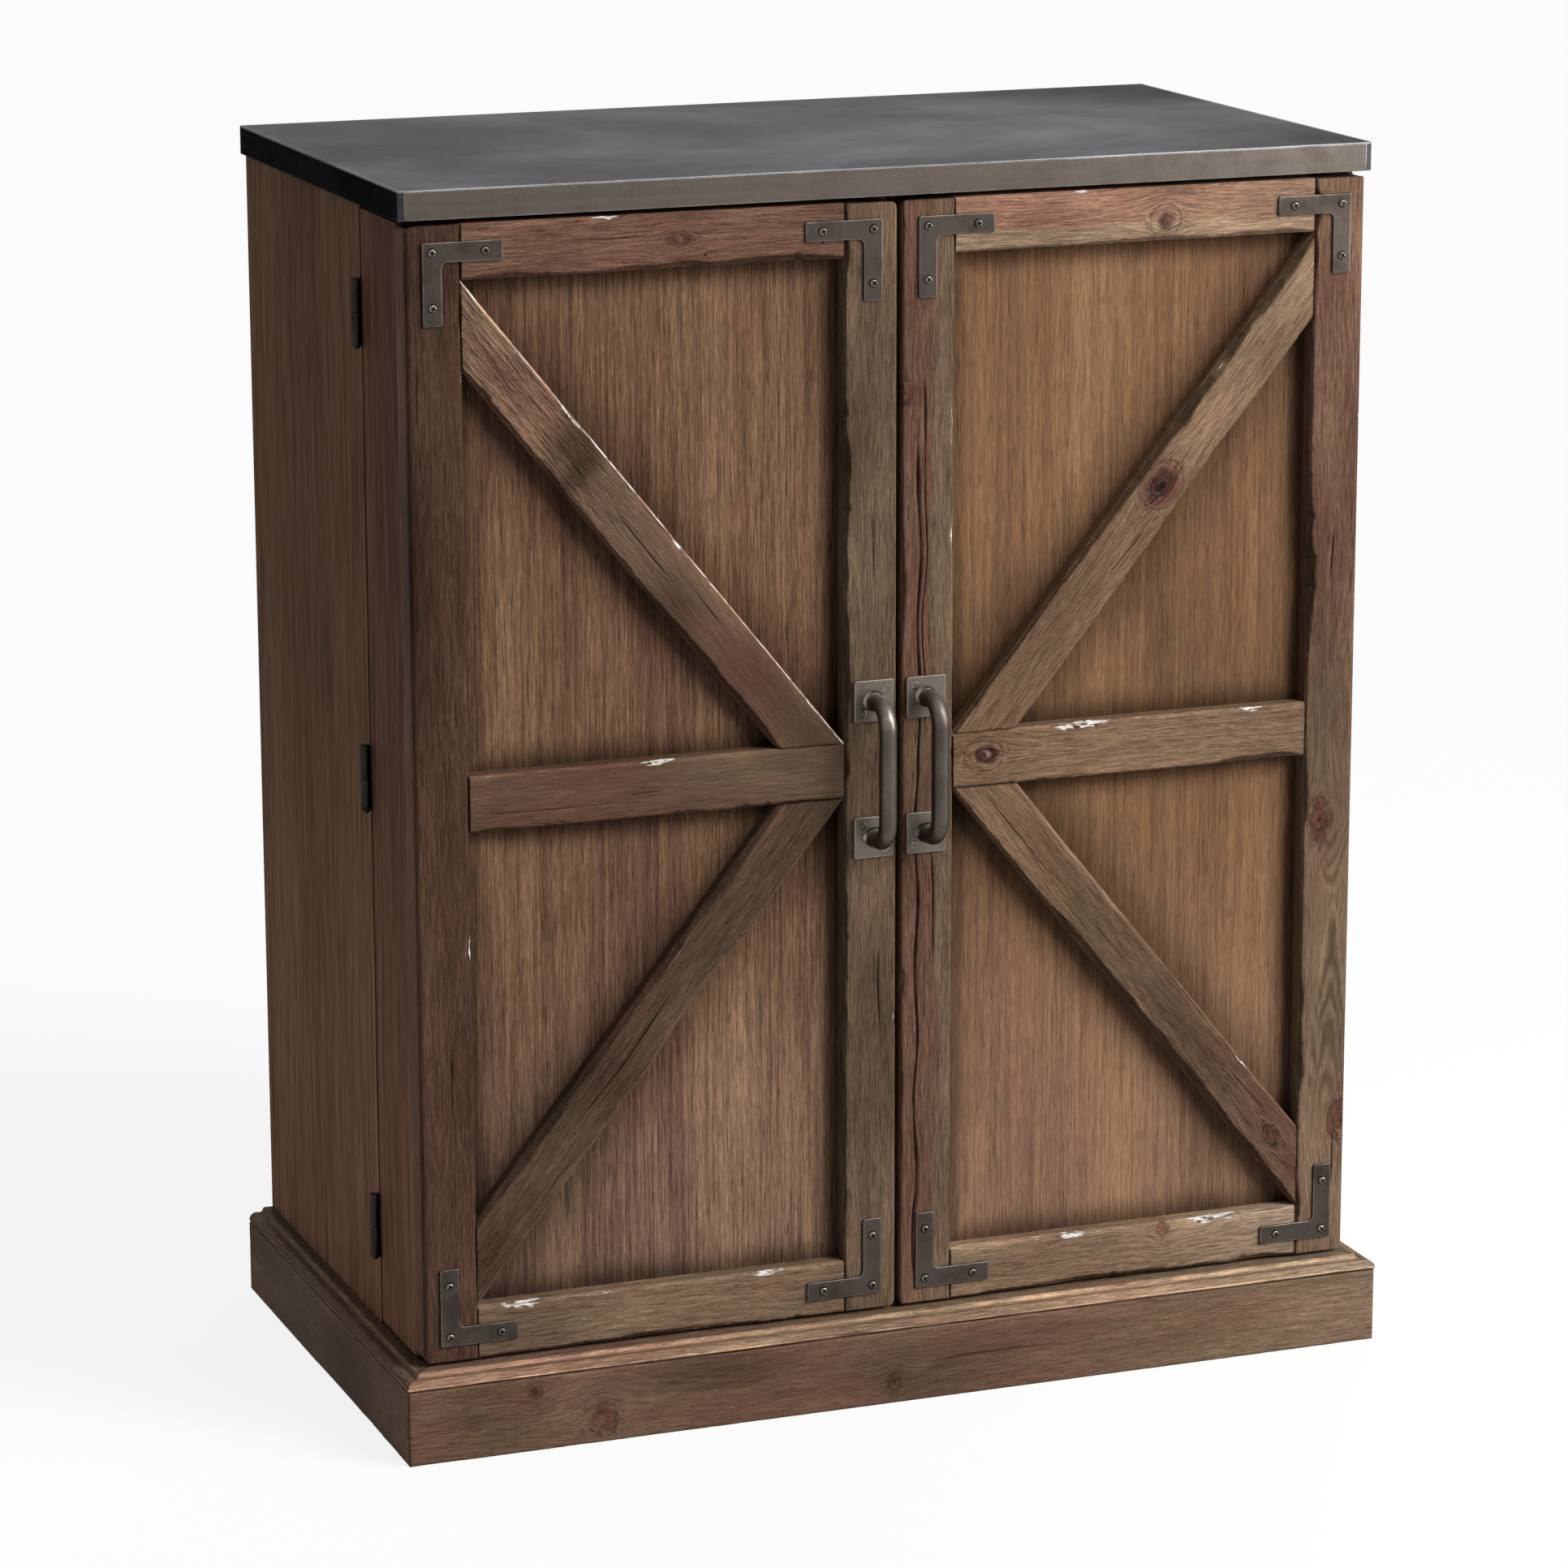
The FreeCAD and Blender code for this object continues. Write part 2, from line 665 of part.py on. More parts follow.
    def make_hinge_side(self):
        """The door's hinge leaves, and the disc that the magnet pulls."""
        leaves = [hinge_leaf(self.side, middle_z, "door") for middle_z in hinge_middles()]
        keep(group(self.label("leaf_set"), leaves), self.label("hinge_leaves"))
        thickness = S.seam_gap - S.magnet_proud - S.strike_gap
        spot = (S.magnet_offset * self.side, PLACE.door_back_y, PLACE.magnet_z)
        disc = cylinder(self.label("disc"), spot, "back", S.strike_diameter / 2, thickness)
        keep(disc, self.label("strike_plate"))

    def pilot(self, x, z, front_y, bite):
        """A hole for a screw whose head seats at front_y."""
        length = PLACE.face_y - front_y + bite + S.screw_clearance
        radius = S.screw_diameter / 2 + S.screw_clearance
        hole = cylinder(self.label("pilot"), (x, front_y, z), "back", radius, length)
        self.pilots.append(hole)
        return hole

    def make_brackets(self):
        """An L-shaped plate on each corner of the frame, held by three pan-head screws."""
        ends = {PLACE.door_low_z + S.bracket_inset: 1, PLACE.door_high_z - S.bracket_inset: -1}
        uprights = {PLACE.meet_u + S.bracket_inset: 1, PLACE.half_width - S.bracket_inset: -1}
        plates = []
        screws = []
        for corner_z, upward in ends.items():
            for corner_u, outward in uprights.items():
                across = outward * self.side
                spot = (corner_u * self.side, PLACE.face_y, corner_z)
                plate, plate_screws = self.make_bracket(spot, across, upward)
                plates.append(plate)
                screws.extend(plate_screws)
        keep(group(self.label("plates"), plates), self.label("corner_brackets"))
        keep(group(self.label("pan_screws"), screws), self.label("bracket_screws"))

    def make_bracket(self, spot, across, upward):
        leg = S.bracket_leg
        width = S.bracket_width
        shape = [(0, 0), (leg, 0), (leg, width), (width, width), (width, leg), (0, leg)]
        corners = [(x * across, z * upward) for x, z in shape]
        body = prism(self.label("bracket"), "XZ_Plane", corners, S.bracket_thickness, spot)
        round_corners(body, self.label("bracket_hollow"), corners[3:4], S.bracket_inner_radius)
        round_corners(body, self.label("bracket_ends"), corners[:3] + corners[4:], S.bracket_outer_radius)
        near = width / 2
        far = leg - S.bracket_screw_end
        front_y = PLACE.face_y - S.bracket_thickness
        holes = []
        screws = []
        for x, z in ((near, near), (far, near), (near, far)):
            hole_x = spot[0] + x * across
            hole_z = spot[2] + z * upward
            holes.append(self.pilot(hole_x, hole_z, front_y, S.screw_bite))
            screws.append(self.pan_screw(hole_x, hole_z, front_y))
        return cut(self.label("bracket_plate"), body, group(self.label("bracket_holes"), holes)), screws

    def pan_screw(self, x, z, front_y):
        head_radius = S.bracket_screw_head_diameter / 2
        head = cone(self.label("pan_head"), (x, front_y, z), "front", head_radius,
                    head_radius * SCREW_CROWN_SHARE, S.bracket_screw_head_height)
        length = PLACE.face_y - front_y + S.screw_bite
        shank = cylinder(self.label("pan_shank"), (x, front_y, z), "back", S.screw_diameter / 2, length)
        return fuse(self.label("pan_screw"), [head, shank])

    def make_handle(self):
        """A round bar bent twice and welded to two square plates, each on two countersunk screws."""
        bar_x = (PLACE.meet_u + S.handle_inset) * self.side
        bar_y = PLACE.face_y - S.handle_standoff
        bend_y = bar_y + S.handle_bend_radius
        bar_radius = S.handle_bar_diameter / 2
        half_plate = S.handle_plate / 2
        plate_y = PLACE.face_y - S.handle_plate_thickness
        pieces = []
        screws = []
        holes = []
        for upward in (-1, 1):
            end_z = PLACE.door_mid_z + S.handle_spacing / 2 * upward
            bend_z = end_z - S.handle_bend_radius * upward
            pieces.append(box(self.label("plate"), (bar_x - half_plate, plate_y, end_z - half_plate),
                              (S.handle_plate, S.handle_plate_thickness, S.handle_plate)))
            pieces.append(cylinder(self.label("leg"), (bar_x, bend_y, end_z), "back", bar_radius,
                                   PLACE.face_y - bend_y))
            directions = (-Y_AXIS, -Z_AXIS) if upward < 0 else (Z_AXIS, -Y_AXIS)
            pieces.append(quarter_bend(self.label("bend"), (bar_x, bend_y, bend_z), *directions,
                                       S.handle_bend_radius, bar_radius))
            for diagonal in (-1, 1):
                reach = (half_plate - S.handle_screw_inset) * diagonal
                screw, hole = self.flat_screw(bar_x - reach * self.side * upward, end_z + reach, plate_y)
                screws.append(screw)
                holes.append(hole)
        grip_length = S.handle_spacing - S.handle_bend_radius * 2
        pieces.append(cylinder(self.label("grip"), (bar_x, bar_y, PLACE.door_mid_z - grip_length / 2), "up",
                               bar_radius, grip_length))
        blank = fuse(self.label("handle_blank"), pieces)
        keep(cut(self.label("handle_bored"), blank, group(self.label("handle_holes"), holes)),
             self.label("handle"))
        keep(group(self.label("flat_screws"), screws), self.label("handle_screws"))

    def flat_screw(self, x, z, front_y):
        """A countersunk screw flush with the plate, and the tool that cuts its hole in the plate."""
        head_radius = S.handle_screw_head_diameter / 2
        shank_radius = S.screw_diameter / 2
        spot = (x, front_y, z)
        head = cone(self.label("flat_head"), spot, "back", head_radius, shank_radius,
                    S.handle_screw_head_height)
        length = S.handle_plate_thickness + S.screw_bite
        shank = cylinder(self.label("flat_shank"), spot, "back", shank_radius, length)
        sink = cone(self.label("sink"), spot, "back", head_radius + S.screw_clearance,
                    shank_radius + S.screw_clearance, S.handle_screw_head_height)
        pilot = self.pilot(x, z, front_y, S.screw_bite)
        hole = fuse(self.label("sunk_hole"), [sink, pilot])
        return fuse(self.label("flat_screw"), [head, shank]), hole


# Checks and files

def faults():
    """Objects that failed to build, and sub-parts whose shape is empty or broken."""
    bad = [item.Label for item in DOC.Objects if "Invalid" in item.State or "Error" in item.State]
    for piece in NODES:
        if piece.Shape.isNull() or not piece.Shape.isValid() or not piece.Shape.Solids:
            bad.append(piece.Label)
    return bad


def main():
    make_top()
    make_carcass()
    make_stemware_rails()
    make_base()
    make_cabinet_hinges()
    for side, name in ((-1, "left_door"), (1, "right_door")):
        Door(side, name).make()
    DOC.recompute()
    bad = faults()
    if bad:
        raise RuntimeError(f"not built: {bad}")
    os.makedirs("parts", exist_ok=True)
    for piece in NODES:
        piece.Shape.exportStep(f"parts/{piece.Label}.step")
    print(f"{len(NODES)} sub-parts written")


main()
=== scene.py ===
import itertools
import math
from dataclasses import dataclass, replace
from functools import partial

import bpy
import numpy as np
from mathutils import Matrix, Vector


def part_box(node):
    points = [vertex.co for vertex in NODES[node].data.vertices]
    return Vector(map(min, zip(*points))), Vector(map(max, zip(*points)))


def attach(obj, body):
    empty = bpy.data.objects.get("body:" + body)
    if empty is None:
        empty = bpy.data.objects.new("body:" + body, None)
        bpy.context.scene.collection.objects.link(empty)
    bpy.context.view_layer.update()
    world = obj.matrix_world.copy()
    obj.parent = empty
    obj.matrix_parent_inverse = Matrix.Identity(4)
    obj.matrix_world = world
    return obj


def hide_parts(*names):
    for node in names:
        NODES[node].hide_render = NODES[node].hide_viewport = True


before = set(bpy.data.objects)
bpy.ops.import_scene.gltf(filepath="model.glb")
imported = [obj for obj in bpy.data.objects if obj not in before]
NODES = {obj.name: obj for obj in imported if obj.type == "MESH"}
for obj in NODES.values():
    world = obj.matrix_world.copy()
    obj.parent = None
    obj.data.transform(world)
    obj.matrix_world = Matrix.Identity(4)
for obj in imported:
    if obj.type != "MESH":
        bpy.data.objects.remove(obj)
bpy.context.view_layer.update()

# Looks of a bar armoire: worn boards of mixed tone, veneered panels, a clad metal top and steel fittings.
# Lengths are in metres, in the frame's axes: +X right, +Y back, +Z up. Sizes written with MM are millimetres.

MM = 0.001
DOORS = ("left_door", "right_door")
DOOR_SIDE = {"left_door": -1, "right_door": 1}
WHITE = (1.0, 1.0, 1.0)


# Repeatable noise

CELL_PRIMES = (2246822519, 3266489917, 668265263)
MIXING_PRIME = 2654435761
WORD = 2 ** 32 - 1


def cell_values(cells, seed):
    """A repeatable number from -1 to 1 for each whole-numbered cell."""
    mixed = np.full(cells.shape[:-1], seed * CELL_PRIMES[0] % WORD, np.uint64)
    for axis, prime in enumerate(CELL_PRIMES):
        mixed = (mixed ^ (cells[..., axis].astype(np.uint64) * np.uint64(prime))) & np.uint64(WORD)
        mixed = (mixed * np.uint64(MIXING_PRIME)) & np.uint64(WORD)
        mixed = mixed ^ (mixed >> np.uint64(15))
    return mixed / (WORD / 2) - 1


def noise(points, size, seed):
    """Smooth noise from -1 to 1 whose bumps are about size long; size may differ by axis."""
    spots = points / np.asarray(size)
    low = np.floor(spots).astype(np.int64)
    part = spots - low
    part = part * part * (3 - 2 * part)
    total = 0
    for corner in itertools.product((0, 1), repeat=3):
        weight = np.prod(np.where(corner, part, 1 - part), axis=-1)
        total = total + weight * cell_values(low + np.array(corner), seed)
    return total


def ripple(values, size, seed):
    """Noise along one line."""
    return noise(np.stack([values, np.zeros_like(values), np.zeros_like(values)], -1), size, seed)


def smooth(values):
    values = np.clip(values, 0, 1)
    return values * values * (3 - 2 * values)


# Meshes

CREASE_ANGLE = 38


def signed_volume(points, faces):
    """Six times the volume that the faces enclose, negative where they face inwards."""
    total = 0.0
    for group in faces:
        first = points[group[:, 0]]
        for index in range(1, group.shape[1] - 1):
            pair = np.cross(points[group[:, index]], points[group[:, index + 1]])
            total += float(np.sum(first * pair))
    return total


def linked(name, data):
    """An object of the scene that shows the data: a mesh, a lamp or a camera."""
    item = bpy.data.objects.new(name, data)
    bpy.context.scene.collection.objects.link(item)
    return item


def make_piece(name, points, faces, attributes, material, body, replaced=()):
    """A smooth-shaded object from arrays of faces of equal size, riding on a body."""
    mesh = bpy.data.meshes.new(name)
    mesh.from_pydata(points.tolist(), [], [face for group in faces for face in group.tolist()])
    for key, values in attributes.items():
        kind, field = ("FLOAT_VECTOR", "vector") if values.ndim == 2 else ("FLOAT", "value")
        mesh.attributes.new(key, kind, "POINT").data.foreach_set(field, values.astype(np.float32).ravel())
    mesh.shade_smooth()
    mesh.set_sharp_from_angle(angle=math.radians(CREASE_ANGLE))
    mesh.materials.append(material)
    piece = linked(name, mesh)
    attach(piece, body)
    if replaced:
        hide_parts(*replaced)


def divided(outline, step):
    """The closed outline with each stretch cut into steps; step gives their length for a stretch's two
    ends."""
    points = []
    for start, end in zip(outline, np.roll(outline, -1, axis=0)):
        count = max(1, round(np.linalg.norm(end - start) / step(start, end)))
        points += [start + (end - start) * index / count for index in range(count)]
    return np.array(points)


def dense_outline(outline, step):
    return divided(outline, lambda start, end: step)


def loft_faces(rows, columns):
    """Quads between neighbouring rows of closed rings."""
    row, column = np.meshgrid(np.arange(rows - 1), np.arange(columns), indexing="ij")
    after = (column + 1) % columns
    quads = [row * columns + column, row * columns + after,
             (row + 1) * columns + after, (row + 1) * columns + column]
    return np.stack(quads, -1).reshape(-1, 4)


def fan_faces(ring, middle, reverse):
    """Triangles from a ring of point numbers to one middle point."""
    following = np.roll(ring, -1)
    pair = (following, ring) if reverse else (ring, following)
    return np.stack([pair[0], pair[1], np.full_like(ring, middle)], -1)


# Shader helpers

# Places of the Mix node's two colours and of its mixed colour
MIX_COLOURS = (6, 7)
MIX_RESULT = 2
NOISE_RANGE = (0.27, 0.73)
SOFT_RANGE = (0.3, 0.7)
WIDE_RANGE = (0.25, 0.75)
FULL_RANGE = (0.2, 0.8)


@dataclass(frozen=True)
class Layer:
    """A layer of noise: its bumps to a metre along each axis, detail, roughness and distortion. Band holds
    the values between which it goes from 0 to 1, where it is a mark and not a tone."""
    bumps: tuple
    detail: float = 3.0
    roughness: float = 0.55
    distortion: float = 0.0
    band: tuple = ()


class Socket:
    """An output of a shader node, open to sums with numbers and other outputs."""

    def __init__(self, paint, output):
        self.paint = paint
        self.output = output

    def calc(self, operation, other=0.0, clamp=False):
        return self.paint.add("Math", {0: self, 1: other}, operation=operation, use_clamp=clamp)

    def __add__(self, other):
        return self.calc("ADD", other)

    def __sub__(self, other):
        return self.calc("SUBTRACT", other)

    def __rsub__(self, other):
        return self.paint.add("Math", {0: other, 1: self}, operation="SUBTRACT")

    def __mul__(self, other):
        return self.calc("MULTIPLY", other)

    __rmul__ = __mul__

    def __truediv__(self, other):
        return self.calc("DIVIDE", other)

    def __abs__(self):
        return self.calc("ABSOLUTE")

    def span(self, low, high, to_low=0.0, to_high=1.0):
        """Its place between low and high, as a number from to_low to to_high."""
        inputs = {"Value": self, "From Min": low, "From Max": high, "To Min": to_low, "To Max": to_high}
        return self.paint.add("MapRange", inputs, interpolation_type="SMOOTHSTEP")

    def spread(self, low, high):
        """A factor from low to high, made from noise."""
        return self.span(*NOISE_RANGE, low, high)

    def sway(self, half):
        """A factor that noise moves by half to each side of 1."""
        return self.spread(1.0 - half, 1.0 + half)


class Paint:
    """A shader tree, with short ways to add nodes to it."""

    def __init__(self, owner):
        owner.use_nodes = True
        self.tree = owner.node_tree

    def feed(self, socket, value):
        """Link or set an input; a value is a number, a vector, a colour of three parts or a node's output."""
        if isinstance(value, Socket):
            self.tree.links.new(value.output, socket)
        elif socket.type == "RGBA":
            socket.default_value = (*value, 1.0)
        else:
            socket.default_value = value

    def add(self, kind, inputs=None, output=0, **settings):
        """The output of a new node, or a list of them where output is a tuple."""
        node = self.tree.nodes.new("ShaderNode" + kind)
        for key, value in settings.items():
            setattr(node, key, value)
        for key, value in (inputs or {}).items():
            self.feed(node.inputs[key], value)
        if isinstance(output, tuple):
            return [Socket(self, node.outputs[key]) for key in output]
        return Socket(self, node.outputs[output])

    def vector(self, operation, first, second, output=0):
        return self.add("VectorMath", {0: first, 1: second}, output, operation=operation)

    def place(self):
        return self.add("TexCoord", output="Object")

    def axes(self, place):
        return self.add("SeparateXYZ", {0: place}, (0, 1, 2))

    def attribute(self, name, output="Fac"):
        return self.add("Attribute", output=output, attribute_name=name)

    def noise(self, place, layer):
        inputs = {"Vector": self.vector("MULTIPLY", place, layer.bumps), "Scale": 1.0, "Detail": layer.detail,
                  "Roughness": layer.roughness, "Distortion": layer.distortion}
        value = self.add("TexNoise", inputs, "Fac")
        return value.span(*layer.band) if layer.band else value

    def cells(self, place, bumps):
        """The distance to the middle of the nearest cell, and a number of its own for each cell."""
        inputs = {"Vector": self.vector("MULTIPLY", place, bumps), "Scale": 1.0}
        distance, colour = self.add("TexVoronoi", inputs, ("Distance", "Color"))
        return distance, self.add("SeparateColor", {0: colour})

    def blend(self, share, first, second, mode="MIX"):
        inputs = {"Factor": share, MIX_COLOURS[0]: first, MIX_COLOURS[1]: second}
        return self.add("Mix", inputs, MIX_RESULT, data_type="RGBA", blend_type=mode)

    def brighten(self, colour, factor):
        """A colour multiplied by a grey factor."""
        grey = self.add("CombineColor", {"Red": factor, "Green": factor, "Blue": factor})
        return self.blend(1.0, colour, grey, "MULTIPLY")


class Finish(Paint):
    """The shader tree of a new material."""

    def __init__(self, name):
        self.material = bpy.data.materials.new(name)
        super().__init__(self.material)
        self.shader = self.tree.nodes["Principled BSDF"]

    def surface(self, inputs):
        for key, value in inputs.items():
            self.feed(self.shader.inputs[key], value)

    def bump(self, height, strength, distance):
        normal = self.add("Bump", {"Height": height, "Strength": strength, "Distance": distance})
        self.surface({"Normal": normal})


# Wood

HEARTWOOD = (0.170, 0.087, 0.059)
SAPWOOD = (0.165, 0.111, 0.070)
GOLDEN_WOOD = (0.235, 0.150, 0.085)
# A grey haze, partly painted sheen, for tones past 1, as on the right ends of the right bottom rail, the
# plinth front and the front moulding.
GREY_HAZE_AND_SHEEN = (0.300, 0.240, 0.195)
FLECK_WOOD = (0.360, 0.270, 0.195)
KNOT_HALO = (0.152, 0.063, 0.044)
KNOT_WOOD = (0.072, 0.034, 0.027)
KNOT_RING = (0.052, 0.026, 0.022)
KNOT_HEART = (0.020, 0.011, 0.010)
# Chips: torn wood, whitened and varied by facet to paint the glints of their facets, with dark splinters.
CHIP_PALE = (0.74, 0.70, 0.66)
CHIP_GREY = (0.34, 0.29, 0.25)
CHIP_DARK = (0.080, 0.052, 0.038)
VENEER_LIGHT = {"left_door": (0.232, 0.134, 0.073), "right_door": (0.278, 0.153, 0.077)}
VENEER_DARK = {"left_door": (0.118, 0.061, 0.040), "right_door": (0.134, 0.070, 0.041)}
SIDE_LIGHT = (0.245, 0.136, 0.080)
SIDE_DARK = (0.135, 0.070, 0.040)
DOOR_SIDE_LIGHT = (0.218, 0.112, 0.070)
DOOR_SIDE_DARK = (0.118, 0.056, 0.036)
ROSY_STAIN = (0.86, 0.76, 0.84)
CASE_LIGHT = (0.165, 0.096, 0.058)
CASE_DARK = (0.092, 0.051, 0.031)
BOARD_GLOSS = 0.008
VENEER_GLOSS = 0.012
SIDE_GLOSS = 0.003

BOARD_LAYERS = {
    "fibre": Layer((48, 1250, 1050), 3.0, 0.62),
    "grit": Layer((150, 1700, 1500), 2.0, 0.6),
    "streak": Layer((14, 420, 340), 4.0, 0.65),
    "figure": Layer((3.5, 90, 80), 3.0, 0.6, 0.6),
    "mottle": Layer((10, 34, 30)),
    "stain": Layer((6, 26, 24), 4.0, 0.62),
    "pores": Layer((55, 1300, 1100), 2.0, band=(0.59, 0.69)),
    "flecks": Layer((70, 1250, 1100), 2.0, band=(0.58, 0.70)),
    "checks": Layer((8, 300, 260), 3.0, 0.5, 0.3, (0.69, 0.75)),
    "torn": Layer((45, 300, 300)),
    "splinters": Layer((90, 260, 260), 2.0, band=(0.56, 0.64)),
    "uneven": Layer((60, 90, 90), 3.0, 0.6),
}
BOARD_TEXTURE = {"fibre": (0.52, 1.48), "grit": (0.78, 1.22), "streak": (0.93, 1.07), "figure": (0.94, 1.06),
                 "stain": (0.84, 1.11)}
BOARD_MARKS = {"pores": 0.45, "checks": 0.32}
LEAST_TEXTURE = 0.1
TONE_MOTTLE = 0.24
GOLDEN_PATCHES = 0.45
FLECK_SHARE = 0.32
HOLE_CELLS = (18, 26, 26)
HOLE_EDGE = (0.018, 0.030)
HOLE_RARITY = 0.72
HOLE_DARKNESS = 0.10
FACET_CELLS = (120, 330, 330)
KNOT_UNEVEN = 0.16
KNOT_RING_SHARE = 0.45
CHIP_TEAR = 0.7
CHIP_SMOOTHNESS = 0.14
STREAK_HEIGHT = 0.8
TORN_HEIGHT = 2.5
BOARD_BUMP = (0.45, 0.5 * MM)
BOARD_DEPTHS = {"pores": 0.5, "checks": 1.2, "holes": 0.9}


def board_colour(paint, layer):
    """Heartwood to sapwood by the board's tone, with golden patches and, for a tone past 1, a grey haze that
    is partly painted sheen.
    """
    tone = paint.attribute("tone")
    mottled = tone.calc("ADD", layer["mottle"].span(*SOFT_RANGE, -TONE_MOTTLE, TONE_MOTTLE), True)
    colour = paint.blend(mottled, HEARTWOOD, SAPWOOD)
    patches = layer["stain"].span(0.54, 0.74, 0.0, GOLDEN_PATCHES)
    colour = paint.blend(patches.calc("ADD", paint.attribute("golden"), True), colour, GOLDEN_WOOD)
    return paint.blend(tone.span(1.0, 2.0) * layer["fibre"].span(*SOFT_RANGE, 0.5, 1.0), colour, GREY_HAZE_AND_SHEEN)


def board_texture(layer, contrast):
    """A factor round 1 from the layers of the grain."""
    texture = math.prod(layer[name].spread(*ends) for name, ends in BOARD_TEXTURE.items())
    texture *= math.prod(layer[name].span(0.0, 1.0, 1.0, dark) for name, dark in BOARD_MARKS.items())
    return ((texture - 1.0) * contrast + 1.0).calc("MAXIMUM", LEAST_TEXTURE)


def knotty(paint, layer, colour):
    """The colour with knots in it: a thin dark ring, a reddish halo, a dark round and a black heart."""
    uneven = layer["uneven"].span(*WIDE_RANGE, -KNOT_UNEVEN, KNOT_UNEVEN)
    knot, halo = (value + uneven * value.span(0.0, 0.15) for value in map(paint.attribute, ("knot", "halo")))
    ring = knot.span(0.02, 0.07) - knot.span(0.10, 0.20)
    colour = paint.blend(halo.span(0.06, 0.40, 0.0, 0.80), colour, KNOT_HALO)
    colour = paint.blend(ring * KNOT_RING_SHARE, colour, KNOT_RING)
    colour = paint.blend(knot.span(0.32, 0.56, 0.0, 0.92), colour, KNOT_WOOD)
    return paint.blend(knot.span(0.78, 0.88, 0.0, 0.95), colour, KNOT_HEART)


def chipped_wood(paint, grain, layer, chip, colour):
    """The colour with pale torn wood where the board is chipped, whitened and varied by facet to paint the
    glints of its facets.
    """
    torn = layer["torn"].span(*WIDE_RANGE, -CHIP_TEAR, CHIP_TEAR)
    pale = (chip + torn).span(0.50, 0.80) * chip.span(0.0, 0.2)
    _, facet_glint = paint.cells(grain, FACET_CELLS)
    broken = paint.blend(facet_glint.span(0.10, 0.55), CHIP_GREY, CHIP_PALE)
    return paint.blend(pale, colour, paint.blend(layer["splinters"], broken, CHIP_DARK))


def worn_wood():
    """Stained boards; each board's tone, shade, knots and chips come with its mesh."""
    paint = Finish("worn_wood")
    grain = paint.attribute("grain", "Vector")
    layer = {name: paint.noise(grain, values) for name, values in BOARD_LAYERS.items()}
    distance, rare = paint.cells(grain, HOLE_CELLS)
    layer["holes"] = distance.span(*HOLE_EDGE, 1.0, 0.0) * rare.calc("GREATER_THAN", HOLE_RARITY)
    contrast = paint.attribute("contrast")
    chip = paint.attribute("chip")
    shade = paint.attribute("shade") * board_texture(layer, contrast)
    colour = paint.brighten(knotty(paint, layer, board_colour(paint, layer)), shade)
    flecks = layer["flecks"] * (contrast * FLECK_SHARE)
    colour = paint.blend(flecks, colour, paint.brighten(FLECK_WOOD, shade))
    colour = paint.brighten(colour, layer["holes"].span(0.0, 1.0, 1.0, HOLE_DARKNESS))
    colour = chipped_wood(paint, grain, layer, chip, colour)
    rough = layer["fibre"].span(*FULL_RANGE, 0.40, 0.62) - chip * CHIP_SMOOTHNESS
    paint.surface({"Base Color": colour, "Roughness": rough, "Specular IOR Level": BOARD_GLOSS})
    height = layer["fibre"] + layer["streak"] * STREAK_HEIGHT
    for name, depth in BOARD_DEPTHS.items():
        height -= layer[name] * depth
    paint.bump(height + chip * layer["torn"] * TORN_HEIGHT, *BOARD_BUMP)
    return paint.material


# The bumps of a veneer's layers are counted along and across its grain.
VENEER_LAYERS = {
    "leaf": Layer((0.8, 17), 2.0, 0.6),
    "bands": Layer((2.2, 88), 3.0, 0.6, 0.4),
    "streaks": Layer((7, 360), 4.0, 0.66),
    "fibre": Layer((30, 1250), 3.0, 0.62),
    "grit": Layer((140, 1800), 2.0, 0.6),
    "pores": Layer((42, 1050), 2.0, 0.55, band=(0.56, 0.68)),
    "mottle": Layer((5, 11), 2.0),
    "rosy": Layer((1.6, 52), 3.0, 0.6),
}
LEAF_WEIGHT = 0.35
BAND_WEIGHT = 0.22
STREAK_WEIGHT = 0.20
STREAK_GAIN = 0.25
TONE_HALF_RANGE = 0.16
ROSY_PATCHES = (0.48, 0.68, 0.0, 0.45)
FIBRE_SWAY = 0.26
GRIT_SWAY = 0.18
STREAK_RANGE = (0.30, 0.60)
STREAK_DARK = 0.30
STREAK_LIGHT = 0.09
MOTTLE_ENDS = (0.94, 1.06)
BETWEEN_PORES = 1.05
PORE_DARK = 0.36
VENEER_BUMP = (0.30, 0.25 * MM)


